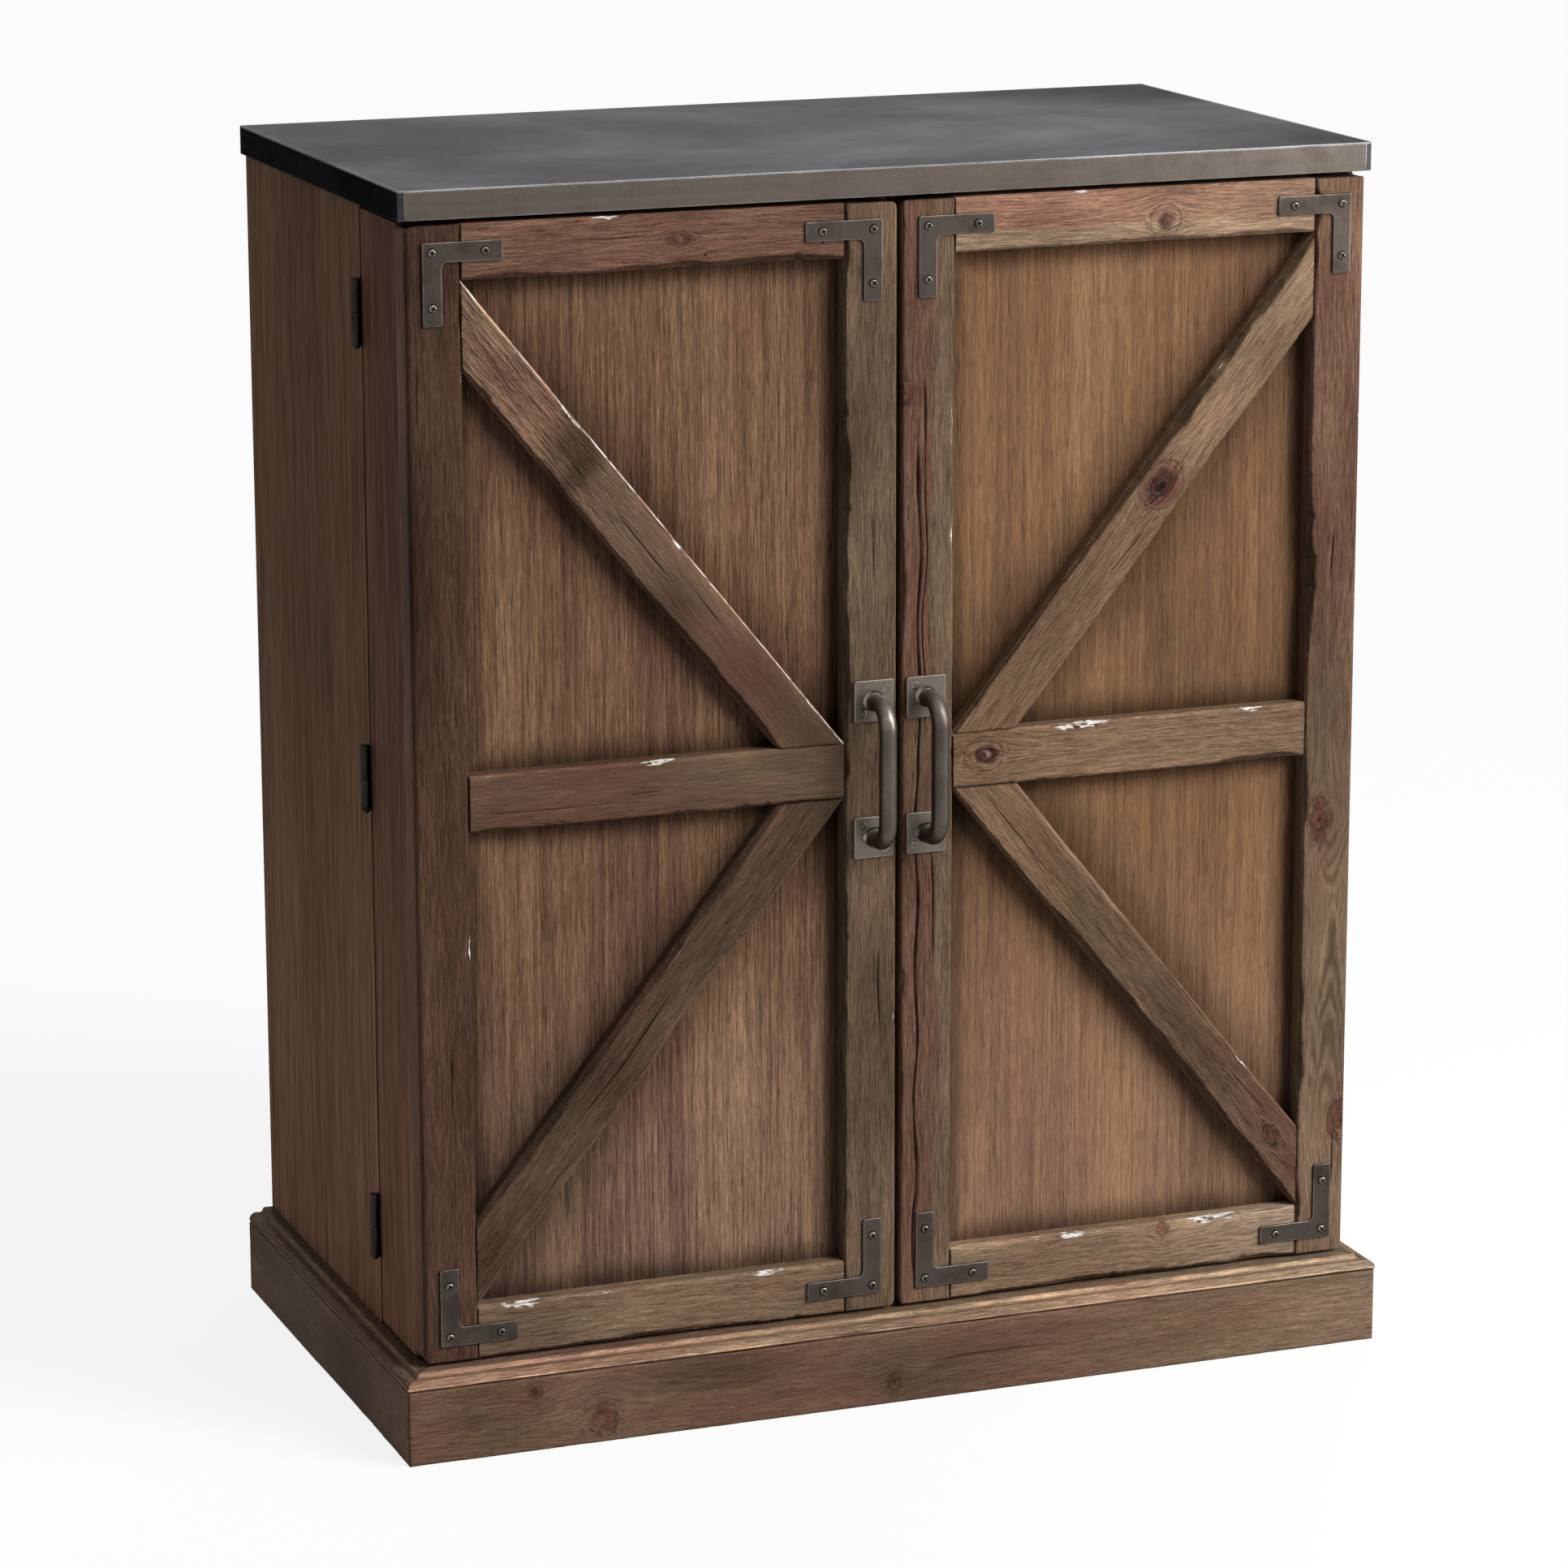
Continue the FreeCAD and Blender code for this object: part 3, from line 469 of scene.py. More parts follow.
def veneer(name, along, light, dark, gloss=VENEER_GLOSS, shades=(), streaky=1.0, broad=1.0, fine=1.0,
           painted_sheen=None):
    """Straight-grained veneer with dark pores. Shades are functions that give a further factor by place, such
    as painted light and shade; streaky is the strength of its long dark streaks, broad is how many times
    wider than usual its figure is and fine is the strength of its fibres and pores. Its last argument (low
    height, high height, tint) is a painted sheen that tints what lies below, more and more from the high to
    the low height."""
    paint = Finish(name)
    place = paint.place()
    layer = {}
    for key, values in VENEER_LAYERS.items():
        with_grain, across = values.bumps
        bumps = tuple(with_grain if axis == along else across / broad for axis in "xyz")
        layer[key] = paint.noise(place, replace(values, bumps=bumps))
    streak_weight = STREAK_WEIGHT + STREAK_GAIN * streaky
    share = layer["leaf"] * LEAF_WEIGHT + layer["bands"] * BAND_WEIGHT + layer["streaks"] * streak_weight
    middle = (LEAF_WEIGHT + BAND_WEIGHT + streak_weight) / 2
    colour = paint.blend(share.span(middle - TONE_HALF_RANGE, middle + TONE_HALF_RANGE), dark, light)
    colour = paint.blend(layer["rosy"].span(*ROSY_PATCHES), colour, ROSY_STAIN, "MULTIPLY")
    # Painted sheen: a paler, greyer tint towards the bottom.
    if painted_sheen:
        low, high, tint = painted_sheen
        height = paint.axes(place)[2]
        colour = paint.blend(height.span(low, high, 1.0, 0.0), colour, paint.vector("MULTIPLY", colour, tint))
    shade = layer["fibre"].sway(FIBRE_SWAY * fine) * layer["grit"].sway(GRIT_SWAY * fine)
    shade *= layer["streaks"].span(*STREAK_RANGE, 1.0 - STREAK_DARK * streaky, 1.0 + STREAK_LIGHT * streaky)
    shade *= layer["mottle"].span(*SOFT_RANGE, *MOTTLE_ENDS)
    shade *= layer["pores"].span(0.0, 1.0, BETWEEN_PORES, BETWEEN_PORES - PORE_DARK * fine)
    for factor in shades:
        shade *= factor(paint, place)
    paint.surface({"Base Color": paint.brighten(colour, shade), "Specular IOR Level": gloss,
                   "Roughness": layer["fibre"].span(*FULL_RANGE, 0.42, 0.60)})
    paint.bump(layer["fibre"] - layer["pores"], *VENEER_BUMP)
    return paint.material


def stripes(paint, place, axis, lines):
    """A factor that changes across each line of (place on the axis, half width, factor)."""
    across = paint.axes(place)[axis]
    return math.prod(abs(across - middle).span(0.3 * half_width, half_width, factor, 1.0)
                     for middle, half_width, factor in lines)


def spots(paint, place, rounds):
    """A factor that changes softly in each round of (x, z, half width, half height, factor)."""
    x, _, z = paint.axes(place)
    total = 1.0
    for middle_x, middle_z, half_width, half_height, factor in rounds:
        across = (x - middle_x) / half_width
        up = (z - middle_z) / half_height
        total *= (across * across + up * up).span(0.0, 1.8, factor, 1.0)
    return total


# Painted shade on the door panels, darker towards their frames, middle rails and braces.
RIM_SHADE_WANDER = Layer((14, 14, 5), 2.0)
RIM_SHADE_WANDER_WIDTH = 12 * MM
RIM_SHADE_SPAN = (4 * MM, 34 * MM, 0.36)
BRACE_SHADE_SPAN = (-6 * MM, 52 * MM, 0.52)
RIM_SHADE_DEPTH = (1 * MM, 2 * MM)


def painted_rim_shade(paint, place, low, high, rail, braces):
    """A factor that falls towards the boards round and across a panel: painted shade in its corners and along
    its rail and braces.
    The rail is its lower and upper edge, and each brace is a point of its middle line, its normal and half
    width. The panel's back stays plain."""
    axes = paint.axes(place)
    nearest = abs(axes[2] - sum(rail) / 2) - (rail[1] - rail[0]) / 2
    for axis in (0, 2):
        for gap in (axes[axis] - low[axis], high[axis] - axes[axis]):
            nearest = nearest.calc("MINIMUM", gap)
    wander = paint.noise(place, RIM_SHADE_WANDER) * RIM_SHADE_WANDER_WIDTH
    factor = (nearest + wander).span(*RIM_SHADE_SPAN, 1.0)
    for point, normal, half_width in braces:
        across = paint.vector("DOT_PRODUCT", paint.vector("SUBTRACT", place, point), normal, "Value")
        factor *= (abs(across) - half_width).span(*BRACE_SHADE_SPAN, 1.0)
    behind = (axes[1] - low[1]).span(*RIM_SHADE_DEPTH)
    return factor.calc("MAXIMUM", behind)


# Metal

GRAZING_TINT = (0.30, 0.295, 0.29)
METAL_GLOSS = 0.1
SPECKS = 40
SPECK_ENDS = (0.88, 1.12)
SHEET_STREAK = (6, 160, 160)
SHEET_STREAK_ENDS = (0.93, 1.07)
METAL_BUMP = (0.12, 0.2 * MM)


def metal(name, light, dark, scale, rough, streak=None, edge=None, sunk=0.6, shades=(), bare=1.0):
    """Patinated metal: cloudy tone and fine speckle, of the edge colour where the mesh's wear is 1 and
    shaded by sunk where it is -1, with a dimmer specular tint there. Besides real worn edges, the mesh's wear
    carries painted highlights, sheen, glints and shade. Scale is the number of clouds to a metre and streak
    that of streaks along each axis. Shades are functions that give a further factor by place, such as
    painted shade, and bare is the share of the surface that no matt patina covers."""
    paint = Finish(name)
    place = paint.place()
    clouds = paint.noise(place, Layer((scale,) * 3, 5.0, 0.62, 0.4))
    speckle = paint.noise(place, Layer((scale * SPECKS,) * 3, 3.0, 0.6))
    colour = paint.blend(clouds.span(0.32, 0.70), dark, light)
    tint = GRAZING_TINT
    shade = speckle.span(*WIDE_RANGE, *SPECK_ENDS)
    if streak:
        shade *= paint.noise(place, Layer(streak)).span(*SOFT_RANGE, *SHEET_STREAK_ENDS)
    for factor in shades:
        shade *= factor(paint, place)
    colour = paint.brighten(colour, shade)
    if edge:
        worn = paint.attribute("wear")
        colour = paint.brighten(colour, worn.span(-1.0, 0.0, sunk, 1.0))
        colour = paint.blend(worn.calc("MULTIPLY", clouds.span(0.35, 0.60, 0.25, 1.0), True), colour, edge)
        tint = paint.brighten(GRAZING_TINT, worn.span(-1.0, 0.0, 0.6, 1.0))
    paint.surface({"Base Color": colour, "Metallic": bare, "Specular IOR Level": METAL_GLOSS,
                   "Specular Tint": tint, "Roughness": clouds.span(*SOFT_RANGE, rough + 0.08, rough - 0.06)})
    paint.bump(speckle + clouds, *METAL_BUMP)
    return paint.material


WORN_WOOD = worn_wood()
# Painted light on the case and door sides: darker towards the top and lighter near the floor.
SIDE_PAINTED_LIGHT = partial(spots, rounds=((0.0, 0.98, 9.0, 0.45, 0.80), (0.0, 0.08, 9.0, 0.34, 1.30)))
CASE_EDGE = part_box("side_panel_left")[0].y
DOOR_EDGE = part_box("left_door_outer_side")[1].y
# Painted shade in the seams between the doors and the case, and a painted highlight on the case sides just
# behind their front edges.
CASE_SEAM = partial(stripes, axis=1,
                    lines=((CASE_EDGE + 3.4 * MM, 5.0 * MM, 1.3), (CASE_EDGE, 1.6 * MM, 0.25)))
DOOR_SEAM = partial(stripes, axis=1, lines=((DOOR_EDGE, 2.2 * MM, 0.25),))
SIDE_VENEER = veneer("side_veneer", "z", SIDE_LIGHT, SIDE_DARK, SIDE_GLOSS,
                     (SIDE_PAINTED_LIGHT, CASE_SEAM), 0.95, 2.4, 0.5)
DOOR_SIDE_VENEER = veneer("door_side_veneer", "z", DOOR_SIDE_LIGHT, DOOR_SIDE_DARK, SIDE_GLOSS,
                          (SIDE_PAINTED_LIGHT, DOOR_SEAM), 0.85, 2.4, 0.5)
CASE = {axis: veneer(f"case_wood_{axis}", axis, CASE_LIGHT, CASE_DARK) for axis in "xyz"}
CLAD_METAL = metal("clad_metal", (0.101, 0.100, 0.107), (0.083, 0.081, 0.085), 2.5, 0.36, SHEET_STREAK,
                   (0.220, 0.236, 0.264), 0.42)
FLAP_METAL = metal("clad_metal_flap", (0.104, 0.088, 0.074), (0.082, 0.068, 0.056), 24, 0.38, SHEET_STREAK,
                   (0.20, 0.18, 0.16))
GUNMETAL = metal("gunmetal", (0.068, 0.055, 0.046), (0.040, 0.032, 0.027), 30, 0.38, None,
                 (0.140, 0.122, 0.104))
HANDLE_METAL = metal("handle_metal", (0.175, 0.148, 0.124), (0.108, 0.089, 0.073), 26, 0.34, None,
                     (0.46, 0.43, 0.395), 0.30, bare=0.7)
SCREW_STEEL = metal("screw_steel", (0.185, 0.160, 0.134), (0.080, 0.068, 0.056), 90, 0.24, None,
                    (0.45, 0.41, 0.36), 0.18)
# Painted shade on the front half of the hinge barrels and leaves.
HINGE_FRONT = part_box("left_door_hinge_leaves")[0].y
HINGE_SHADE = partial(stripes, axis=1, lines=((HINGE_FRONT - 0.75 * MM, 5.5 * MM, 0.30),))
BLACK_METAL = metal("black_metal", (0.088, 0.075, 0.068), (0.050, 0.042, 0.038), 60, 0.44,
                    shades=(HINGE_SHADE,))


# Worn boards

@dataclass(frozen=True)
class Wear:
    """A board's long front edge in millimetres: an even ease, a wandering wane, and chips given as (share of
    the length, half length, depth). Stain is the factor on the worn slope against the face, below 1 stain
    with painted shade and above 1 a painted highlight; bare is how far the edge has lost its stain, pale as
    bare wood with a painted highlight, and pale how far its chips show bare wood, whitened as painted glints."""
    ease: float = 1.3
    wane: float = 2.0
    chips: tuple = ()
    stain: float = 0.75
    bare: float = 0.0
    pale: float = 1.0


@dataclass(frozen=True)
class Knot:
    """A knot: its share of the board's length and width, its radius in millimetres, how dark it is, how many
    times longer than wide, and the strength of the reddish wood round it."""
    along: float
    across: float
    radius: float
    depth: float = 0.6
    stretch: float = 1.25
    halo: float = 0.75


@dataclass(frozen=True)
class Look:
    """A board's colour and damage. Tones are spread evenly along it: 0 is heartwood, 1 sapwood, 2 a grey
    haze that is partly painted sheen. The contrast of its grain and its golden cast are spread along it as
    well. Sapwood (edge, share of the width, gain) is a pale band along an edge. Cracks are (start share, end
    share, across share, width, depth) and stains (along share, across share, half length, strength). Arches
    (along share of the tip, across share, length, half width, strength) are nested curves of the grain.
    Lines (axis, place, half width, factor) are painted highlights and painted shade lines along the board's
    whole length, and side (depth, factor) is painted light and shade on what lies deeper than its front. All
    lengths are in millimetres."""
    seed: int
    tones: tuple
    shade: float
    low: Wear = Wear()
    high: Wear = Wear()
    sapwood: tuple = ()
    knots: tuple = ()
    cracks: tuple = ()
    stains: tuple = ()
    lines: tuple = ()
    side: tuple = ()
    arches: tuple = ()
    contrast: tuple = (1.0, 1.0)
    golden: tuple = (0.0, 0.0)


# How the long edges wear
LONG_WAVE = 105.0 * MM
SHORT_WAVE = 24.0 * MM
NICK_LENGTH = 9.0 * MM
FRAY_LENGTH = 5.0 * MM
FRAY_DEPTH = 0.35 * MM
TORN_SIZE = (6.0 * MM, 2.2 * MM, 2.2 * MM)
RUB_LENGTH = 38.0 * MM
WANE_GAIN = 2.0
END_FADE = 28.0 * MM
CHIP_REACH = 1.5
CHIP_EDGE = 0.8 * MM
RUB_EDGE = 0.4 * MM
SLOPE_STAIN_AND_LIGHT_EDGE = 1.0 * MM
END_WEAR = 0.15
# How the faces wear
HOLLOW_SIZE = (70.0 * MM, 15.0 * MM, 15.0 * MM)
HOLLOW_DEPTH = 0.40 * MM
FACE_DEPTH = 2.0 * MM
CRACK_FADE = 0.04
CRACK_WANDER = 60.0 * MM
CRACK_CHANGE = 17.0 * MM
CRACK_DARKNESS = 0.88
CRACK_STEPS = np.array((-1.6, -0.8, 0, 0.8, 1.6))
NOSE_WIDTH = 0.8 * MM
NOSE_WEAR = 0.8 * MM
NOSE_WAVE = 33.0 * MM
NOSE_NICK = 6.0 * MM
NOSE_SEED = 7
NOSE_BARE_AND_HIGHLIGHT = 0.35
# How the colour changes along and across a board
CLOUD_SIZE = (95.0 * MM, 24.0 * MM, 24.0 * MM)
CLOUD_STRENGTH = 0.16
SAPWOOD_WAVE = 110.0 * MM
SAPWOOD_WOBBLE = 0.16
SAPWOOD_EDGE = 0.10
SAPWOOD_TONE = 1.1
LINE_WAVE = 21.0 * MM
STAIN_NARROWING = 1.3
STAIN_REACH = 1.2
KNOT_FLOW = 1.1
KNOT_SHADE = 0.22
KNOT_SHADE_REACH = 1.5
KNOT_CURL = 0.3
KNOT_CURL_REACH = 1.3
ARCH_BANDS = 4.5
ARCH_SIZE = (30.0 * MM, 8.0 * MM, 8.0 * MM)
ARCH_WOBBLE = 0.10
ARCH_EDGE = 0.08
ARCH_LIP = 0.03
ARCH_LIP_WIDTH = 0.04
GRAIN_OFFSET = np.array((0.37, 0.61, 0.83))
JOINT_WIDTH = 0.9 * MM
JOINT_DARKNESS = 0.6
# How the meshes are divided
ROW_STEP = 2.0 * MM
FACE_STEP = 1.9 * MM
SIDE_STEP = 1.6 * MM
HIDDEN_STEP = 7.0 * MM
END_EASE = 0.9 * MM
END_ROWS = np.array((0.0, 0.4, 0.9, 1.5)) * MM


class Board:
    """A worn board in its own axes: a along the grain, b across its face and c inwards from the face."""

    def __init__(self, node, origin, axes, size, look):
        self.node = node
        self.origin = np.array(origin)
        self.axes = np.array(axes)
        self.size = np.array(size)
        self.look = look
        self.start = np.zeros(2)
        self.end = np.zeros(2)
        self.rabbet = None
        self.corner_round = ()
        self.outline = None
        self.nose = None

    def section(self):
        """Points round the board's outline in (b, c), closer together at the front edges and cracks."""
        if self.outline is not None:
            return self.outline
        _, width, depth = self.size
        count = max(4, round(width / FACE_STEP))
        face = width * (0.5 - 0.5 * np.cos(np.linspace(0, math.pi, count + 1)))
        for _, _, share, crack_width, _ in self.look.cracks:
            middle = share * width
            face = np.append(face, middle + crack_width * MM * CRACK_STEPS)
        face = np.unique(np.round(face, 6))
        side = depth * (1 - np.cos(np.linspace(0, math.pi / 2, max(4, round(depth / SIDE_STEP)) + 1)))
        back = [(width, depth), (0.0, depth)]
        high_end = low_end = depth
        if self.rabbet:
            edge, across, inward = self.rabbet
            if edge == "high":
                back = [(width, inward), (width - across, inward), (width - across, depth), (0.0, depth)]
                high_end = inward
            else:
                back = [(width, depth), (across, depth), (across, inward), (0.0, inward)]
                low_end = inward
        points = [(b, 0.0) for b in face]
        points += [(width, c) for c in side[1:] if c < high_end - END_EASE]
        for (b0, c0), (b1, c1) in zip(back, back[1:]):
            steps = max(1, round(math.hypot(b1 - b0, c1 - c0) / HIDDEN_STEP))
            points += [(b0 + (b1 - b0) * i / steps, c0 + (c1 - c0) * i / steps) for i in range(steps)]
        points.append(back[-1])
        points += [(0.0, c) for c in side[:0:-1] if c < low_end - END_EASE]
        return np.array(points)

    def places(self):
        """Rows of section points along the board, in its own axes, with slanted ends taken in."""
        ring = self.section()
        length = self.size[0]
        first = ring @ self.start
        last = length + ring @ self.end
        rows = max(8, round(length / ROW_STEP))
        near = END_ROWS / length
        between = np.linspace(near[-1], 1 - near[-1], rows)[1:-1]
        share = np.concatenate([near, between, 1 - near[::-1]])
        along = first + (last - first) * share[:, None]
        self.from_end = np.minimum(share, 1 - share)[:, None] * (last - first)
        return np.concatenate([along[..., None], np.broadcast_to(ring, (len(share), *ring.shape))], -1)

    def gap(self, places, axis, end):
        return places[..., axis] if end == 0 else self.size[axis] - places[..., axis]

    def ease_edge(self, places, first, second, reach):
        """Cut back the edge between two sides, each (axis, end), to a slope that reaches that far onto
        both."""
        cut = np.clip(reach - self.gap(places, *first) - self.gap(places, *second), 0, None) / 2
        for axis, end in (first, second):
            places[..., axis] += cut if end == 0 else -cut
        return cut

    def round_corner(self, places, first, second, radius):
        """Round the edge between two sides to a radius."""
        gaps = [radius - self.gap(places, *side) for side in (first, second)]
        reach = np.hypot(*gaps)
        inside = (gaps[0] > 0) & (gaps[1] > 0) & (reach > radius)
        shrink = np.where(inside, 1 - radius / np.maximum(reach, radius), 0)
        for (axis, end), gap in zip((first, second), gaps):
            places[..., axis] += gap * shrink * (1 if end == 0 else -1)

    def wear_long_edges(self, places):
        """Wear both long front edges. Returns how far each point is pale, in chips and along bare edges with
        a painted highlight, and the factor of stain and painted light on the worn slopes.
        """
        look = self.look
        along = places[..., 0].copy()
        chipped = np.zeros(along.shape)
        slope_stain_and_light = np.ones(along.shape)
        for edge, (end, wear) in enumerate(((0, look.low), (1, look.high))):
            seed = look.seed * 10 + edge * 3
            wave = 0.60 * ripple(along, LONG_WAVE, seed) + 0.30 * ripple(along, SHORT_WAVE, seed + 1) + 0.12
            wave += 0.5 * np.clip(ripple(along, NICK_LENGTH, seed + 4) - 0.5, 0, 1)
            fade = END_WEAR + (1 - END_WEAR) * smooth(self.from_end / END_FADE)
            reach = (wear.ease + wear.wane * WANE_GAIN * np.clip(wave, 0, 1) * fade) * MM
            reach += FRAY_DEPTH * np.abs(ripple(along, FRAY_LENGTH, seed + 2)) * min(wear.wane, 2.0)
            chip = np.zeros(along.shape)
            for share, half_length, depth in wear.chips:
                spread = (along - share * self.size[0]) / (half_length * MM)
                window = np.sqrt(np.clip(1 - spread ** 2, 0, 1))
                ragged = 0.72 + 0.28 * noise(places, TORN_SIZE, seed + 5)
                reach = np.maximum(reach, CHIP_REACH * depth * MM * window * ragged)
                chip = np.maximum(chip, window ** 2)
            cut = self.ease_edge(places, (1, end), (2, 0), reach)
            chipped = np.maximum(chipped, wear.pale * chip * smooth(cut / CHIP_EDGE))
            # A pale, bare edge with a painted highlight, patchy along the board.
            patchy = wear.bare * (0.8 + 0.5 * ripple(along, RUB_LENGTH, seed + 6))
            chipped = np.maximum(chipped, patchy * smooth(cut / RUB_EDGE))
            # The edge's stain darkens the worn slope with stain and painted shade below 1, and lightens it as
            # a painted highlight above 1.
            slope_stain_and_light = slope_stain_and_light * (1 + (wear.stain - 1) * smooth(cut / SLOPE_STAIN_AND_LIGHT_EDGE) * (1 - chip))
        return chipped, slope_stain_and_light

    def dent_face(self, places, flat):
        """Hollow the face a little and open its cracks. Returns how dark the cracks are."""
        look = self.look
        front = smooth(1 - flat[..., 2] / FACE_DEPTH)
        hollow = noise(flat, HOLLOW_SIZE, look.seed + 7)
        places[..., 2] += HOLLOW_DEPTH * np.clip(hollow, 0, 1) * front
        dark = np.zeros(front.shape)
        for number, (first, last, share, width, depth) in enumerate(look.cracks):
            along = flat[..., 0] / self.size[0]
            open_share = smooth((along - first) / CRACK_FADE) * smooth((last - along) / CRACK_FADE)
            offset = flat[..., 1] - share * self.size[1]
            wander = 2.6 * width * MM * ripple(flat[..., 0], CRACK_WANDER, look.seed + 20 + number)
            places[..., 1] += wander * np.exp(-(offset / (7 * width * MM)) ** 2) * front
            groove = np.exp(-(offset / (0.75 * width * MM)) ** 2) * open_share * front
            groove = groove * (0.75 + 0.25 * ripple(flat[..., 0], CRACK_CHANGE, look.seed + 30 + number))
            places[..., 2] += depth * MM * groove
            dark = np.maximum(dark, groove)
        return dark

    def wear_nose(self, places, flat):
        """Wear the upper edge of a moulding, which lies that far behind its front. Returns how pale it is:
        bare wood with a painted highlight.
        """
        along, across, inward = np.moveaxis(flat, -1, 0)
        near = np.exp(-((inward - self.nose) / NOSE_WIDTH) ** 2)
        top = smooth((across - self.size[1]) / MM + 2)
        worn = 0.45 + 0.35 * ripple(along, NOSE_WAVE, self.look.seed)
        worn += 0.25 * ripple(along, NOSE_NICK, NOSE_SEED)
        places[..., 1] -= NOSE_WEAR * np.clip(worn, 0.1, 1) * near * top
        return NOSE_BARE_AND_HIGHLIGHT * near * smooth(1.6 * (worn - 0.35)) * np.clip(along / self.size[0] + 0.3, 0, 1)

    def colours(self, flat, chipped, slope_stain_and_light):
        """The values that the wood's material reads: grain place, tone, shade, knots and chips; the shade
        carries painted light and shade as well.
        """
        look = self.look
        length, width, _ = self.size
        along = flat[..., 0] / length
        across = flat[..., 1] / width
        tone, contrast, golden = (np.interp(along, np.linspace(0, 1, len(values)), values)
                                  for values in (look.tones, look.contrast, look.golden))
        shade = look.shade * (1 + CLOUD_STRENGTH * noise(flat, CLOUD_SIZE, look.seed + 11))
        if look.sapwood:
            edge, share, gain = look.sapwood
            from_edge = across if edge == "low" else 1 - across
            wobble = SAPWOOD_WOBBLE * ripple(flat[..., 0], SAPWOOD_WAVE, look.seed + 13)
            band = smooth((share + wobble - from_edge) / SAPWOOD_EDGE + 0.5)
            tone = tone + (SAPWOOD_TONE - tone) * band
            shade = shade * (1 + gain * band)
        # Painted highlights and painted shade lines along the board, broken up along its length.
        for axis, place, half_width, factor in look.lines:
            offset = (flat[..., axis] - place * MM) / (half_width * MM)
            patchy = np.clip(0.75 + 0.55 * ripple(flat[..., 0], LINE_WAVE, look.seed + 17), 0, 1.2)
            shade = shade * (1 + (factor - 1) * np.exp(-offset ** 2) * patchy)
        # Painted light and shade on what lies deeper than the front.
        if look.side:
            depth, factor = look.side
            shade = shade * (1 + (factor - 1) * smooth(flat[..., 2] / MM - depth))
        shade = shade * (1 - JOINT_DARKNESS * np.exp(-(self.from_end / JOINT_WIDTH) ** 2))
        for spot, level, half_length, strength in look.stains:
            reach = np.hypot((along - spot) * length / (half_length * MM), (across - level) * STAIN_NARROWING)
            shade = shade * (1 - strength * smooth(STAIN_REACH - reach))
        values = {"tone": tone, "contrast": contrast, "golden": golden, "chip": chipped,
                  **self.knot_values(flat)}
        shade = shade * values.pop("dimmed") * self.arch_shade(flat) * slope_stain_and_light
        return {**values, "shade": shade}

    def knot_values(self, flat):
        """The grain's places, bent round the knots, and how far each point lies in a knot, its halo and its
        shade."""
        grain = flat.copy()
        knot = np.zeros(flat.shape[:-1])
        halo = np.zeros(flat.shape[:-1])
        dimmed = np.ones(flat.shape[:-1])
        for spot in self.look.knots:
            ahead = (flat[..., 0] - spot.along * self.size[0]) / spot.stretch
            aside = flat[..., 1] - spot.across * self.size[1]
            reach = np.hypot(ahead, aside) / (spot.radius * MM)
            grain[..., 1] -= aside / (1 + (reach / KNOT_FLOW) ** 2)
            grain[..., 2] += KNOT_CURL * spot.radius * MM * reach * smooth(KNOT_CURL_REACH - reach)
            inside = np.clip(1 - reach, 0, 1)
            knot = np.maximum(knot, spot.depth * inside)
            halo = np.maximum(halo, spot.halo * inside)
            dimmed = dimmed * (1 - KNOT_SHADE * np.exp(-(reach / KNOT_SHADE_REACH) ** 2))
        return {"grain": grain + GRAIN_OFFSET * self.look.seed, "knot": knot, "halo": halo, "dimmed": dimmed}

    def arch_shade(self, flat):
        """The shade of nested arches in the grain."""
        length, width, _ = self.size
        shade = np.ones(flat.shape[:-1])
        for tip, level, arch_length, half_width, strength in self.look.arches:
            drop = (tip * length - flat[..., 0]) / (arch_length * MM)
            aside = (flat[..., 1] / width - level) * width / (half_width * MM)
            inside = drop - aside ** 2 + ARCH_WOBBLE * noise(flat, ARCH_SIZE, self.look.seed + 41)
            fade = smooth(3 * (1 - drop))
            bands = np.cos(2 * math.pi * ARCH_BANDS * inside)
            shade = shade * (1 - strength * smooth(inside / ARCH_EDGE) * (0.3 - 0.7 * bands) * fade)
            shade = shade * (1 + strength * np.exp(-((inside + ARCH_LIP) / ARCH_LIP_WIDTH) ** 2) * fade)
        return shade

    def make(self, body):
        flat = self.places()
        places = flat.copy()
        chipped, slope_stain_and_light = self.wear_long_edges(places)
        dark = self.dent_face(places, flat)
        if self.nose:
            chipped = np.maximum(chipped, self.wear_nose(places, flat))
        if self.outline is None and not self.start.any() and not self.end.any():
            for end in (0, 1):
                self.ease_edge(places, (0, end), (2, 0), END_EASE)
        for first, second, radius in self.corner_round:
            self.round_corner(places, first, second, radius)
        values = self.colours(flat, chipped, slope_stain_and_light * (1 - CRACK_DARKNESS * dark))
        rows, columns, _ = places.shape
        middles = np.stack([places[index].mean(0) for index in (0, -1)])
        middles[:, 1:] = self.size[1] / 2, self.size[2] / 3
        points = self.origin + np.concatenate([places.reshape(-1, 3), middles]) @ self.axes
        data = {}
        for key, grid in values.items():
            ends = [grid[index].mean(0)[None] for index in (0, -1)]
            data[key] = np.concatenate([grid.reshape(rows * columns, *grid.shape[2:]), *ends])
        ring = np.arange(columns)
        faces = [loft_faces(rows, columns),
                 fan_faces(ring, rows * columns, True),
                 fan_faces(ring + (rows - 1) * columns, rows * columns + 1, False)]
        if signed_volume(points, faces) < 0:
            faces = [group[:, ::-1] for group in faces]
        make_piece(f"worn_{self.node}", points, faces, data, WORN_WOOD, body, (self.node,))


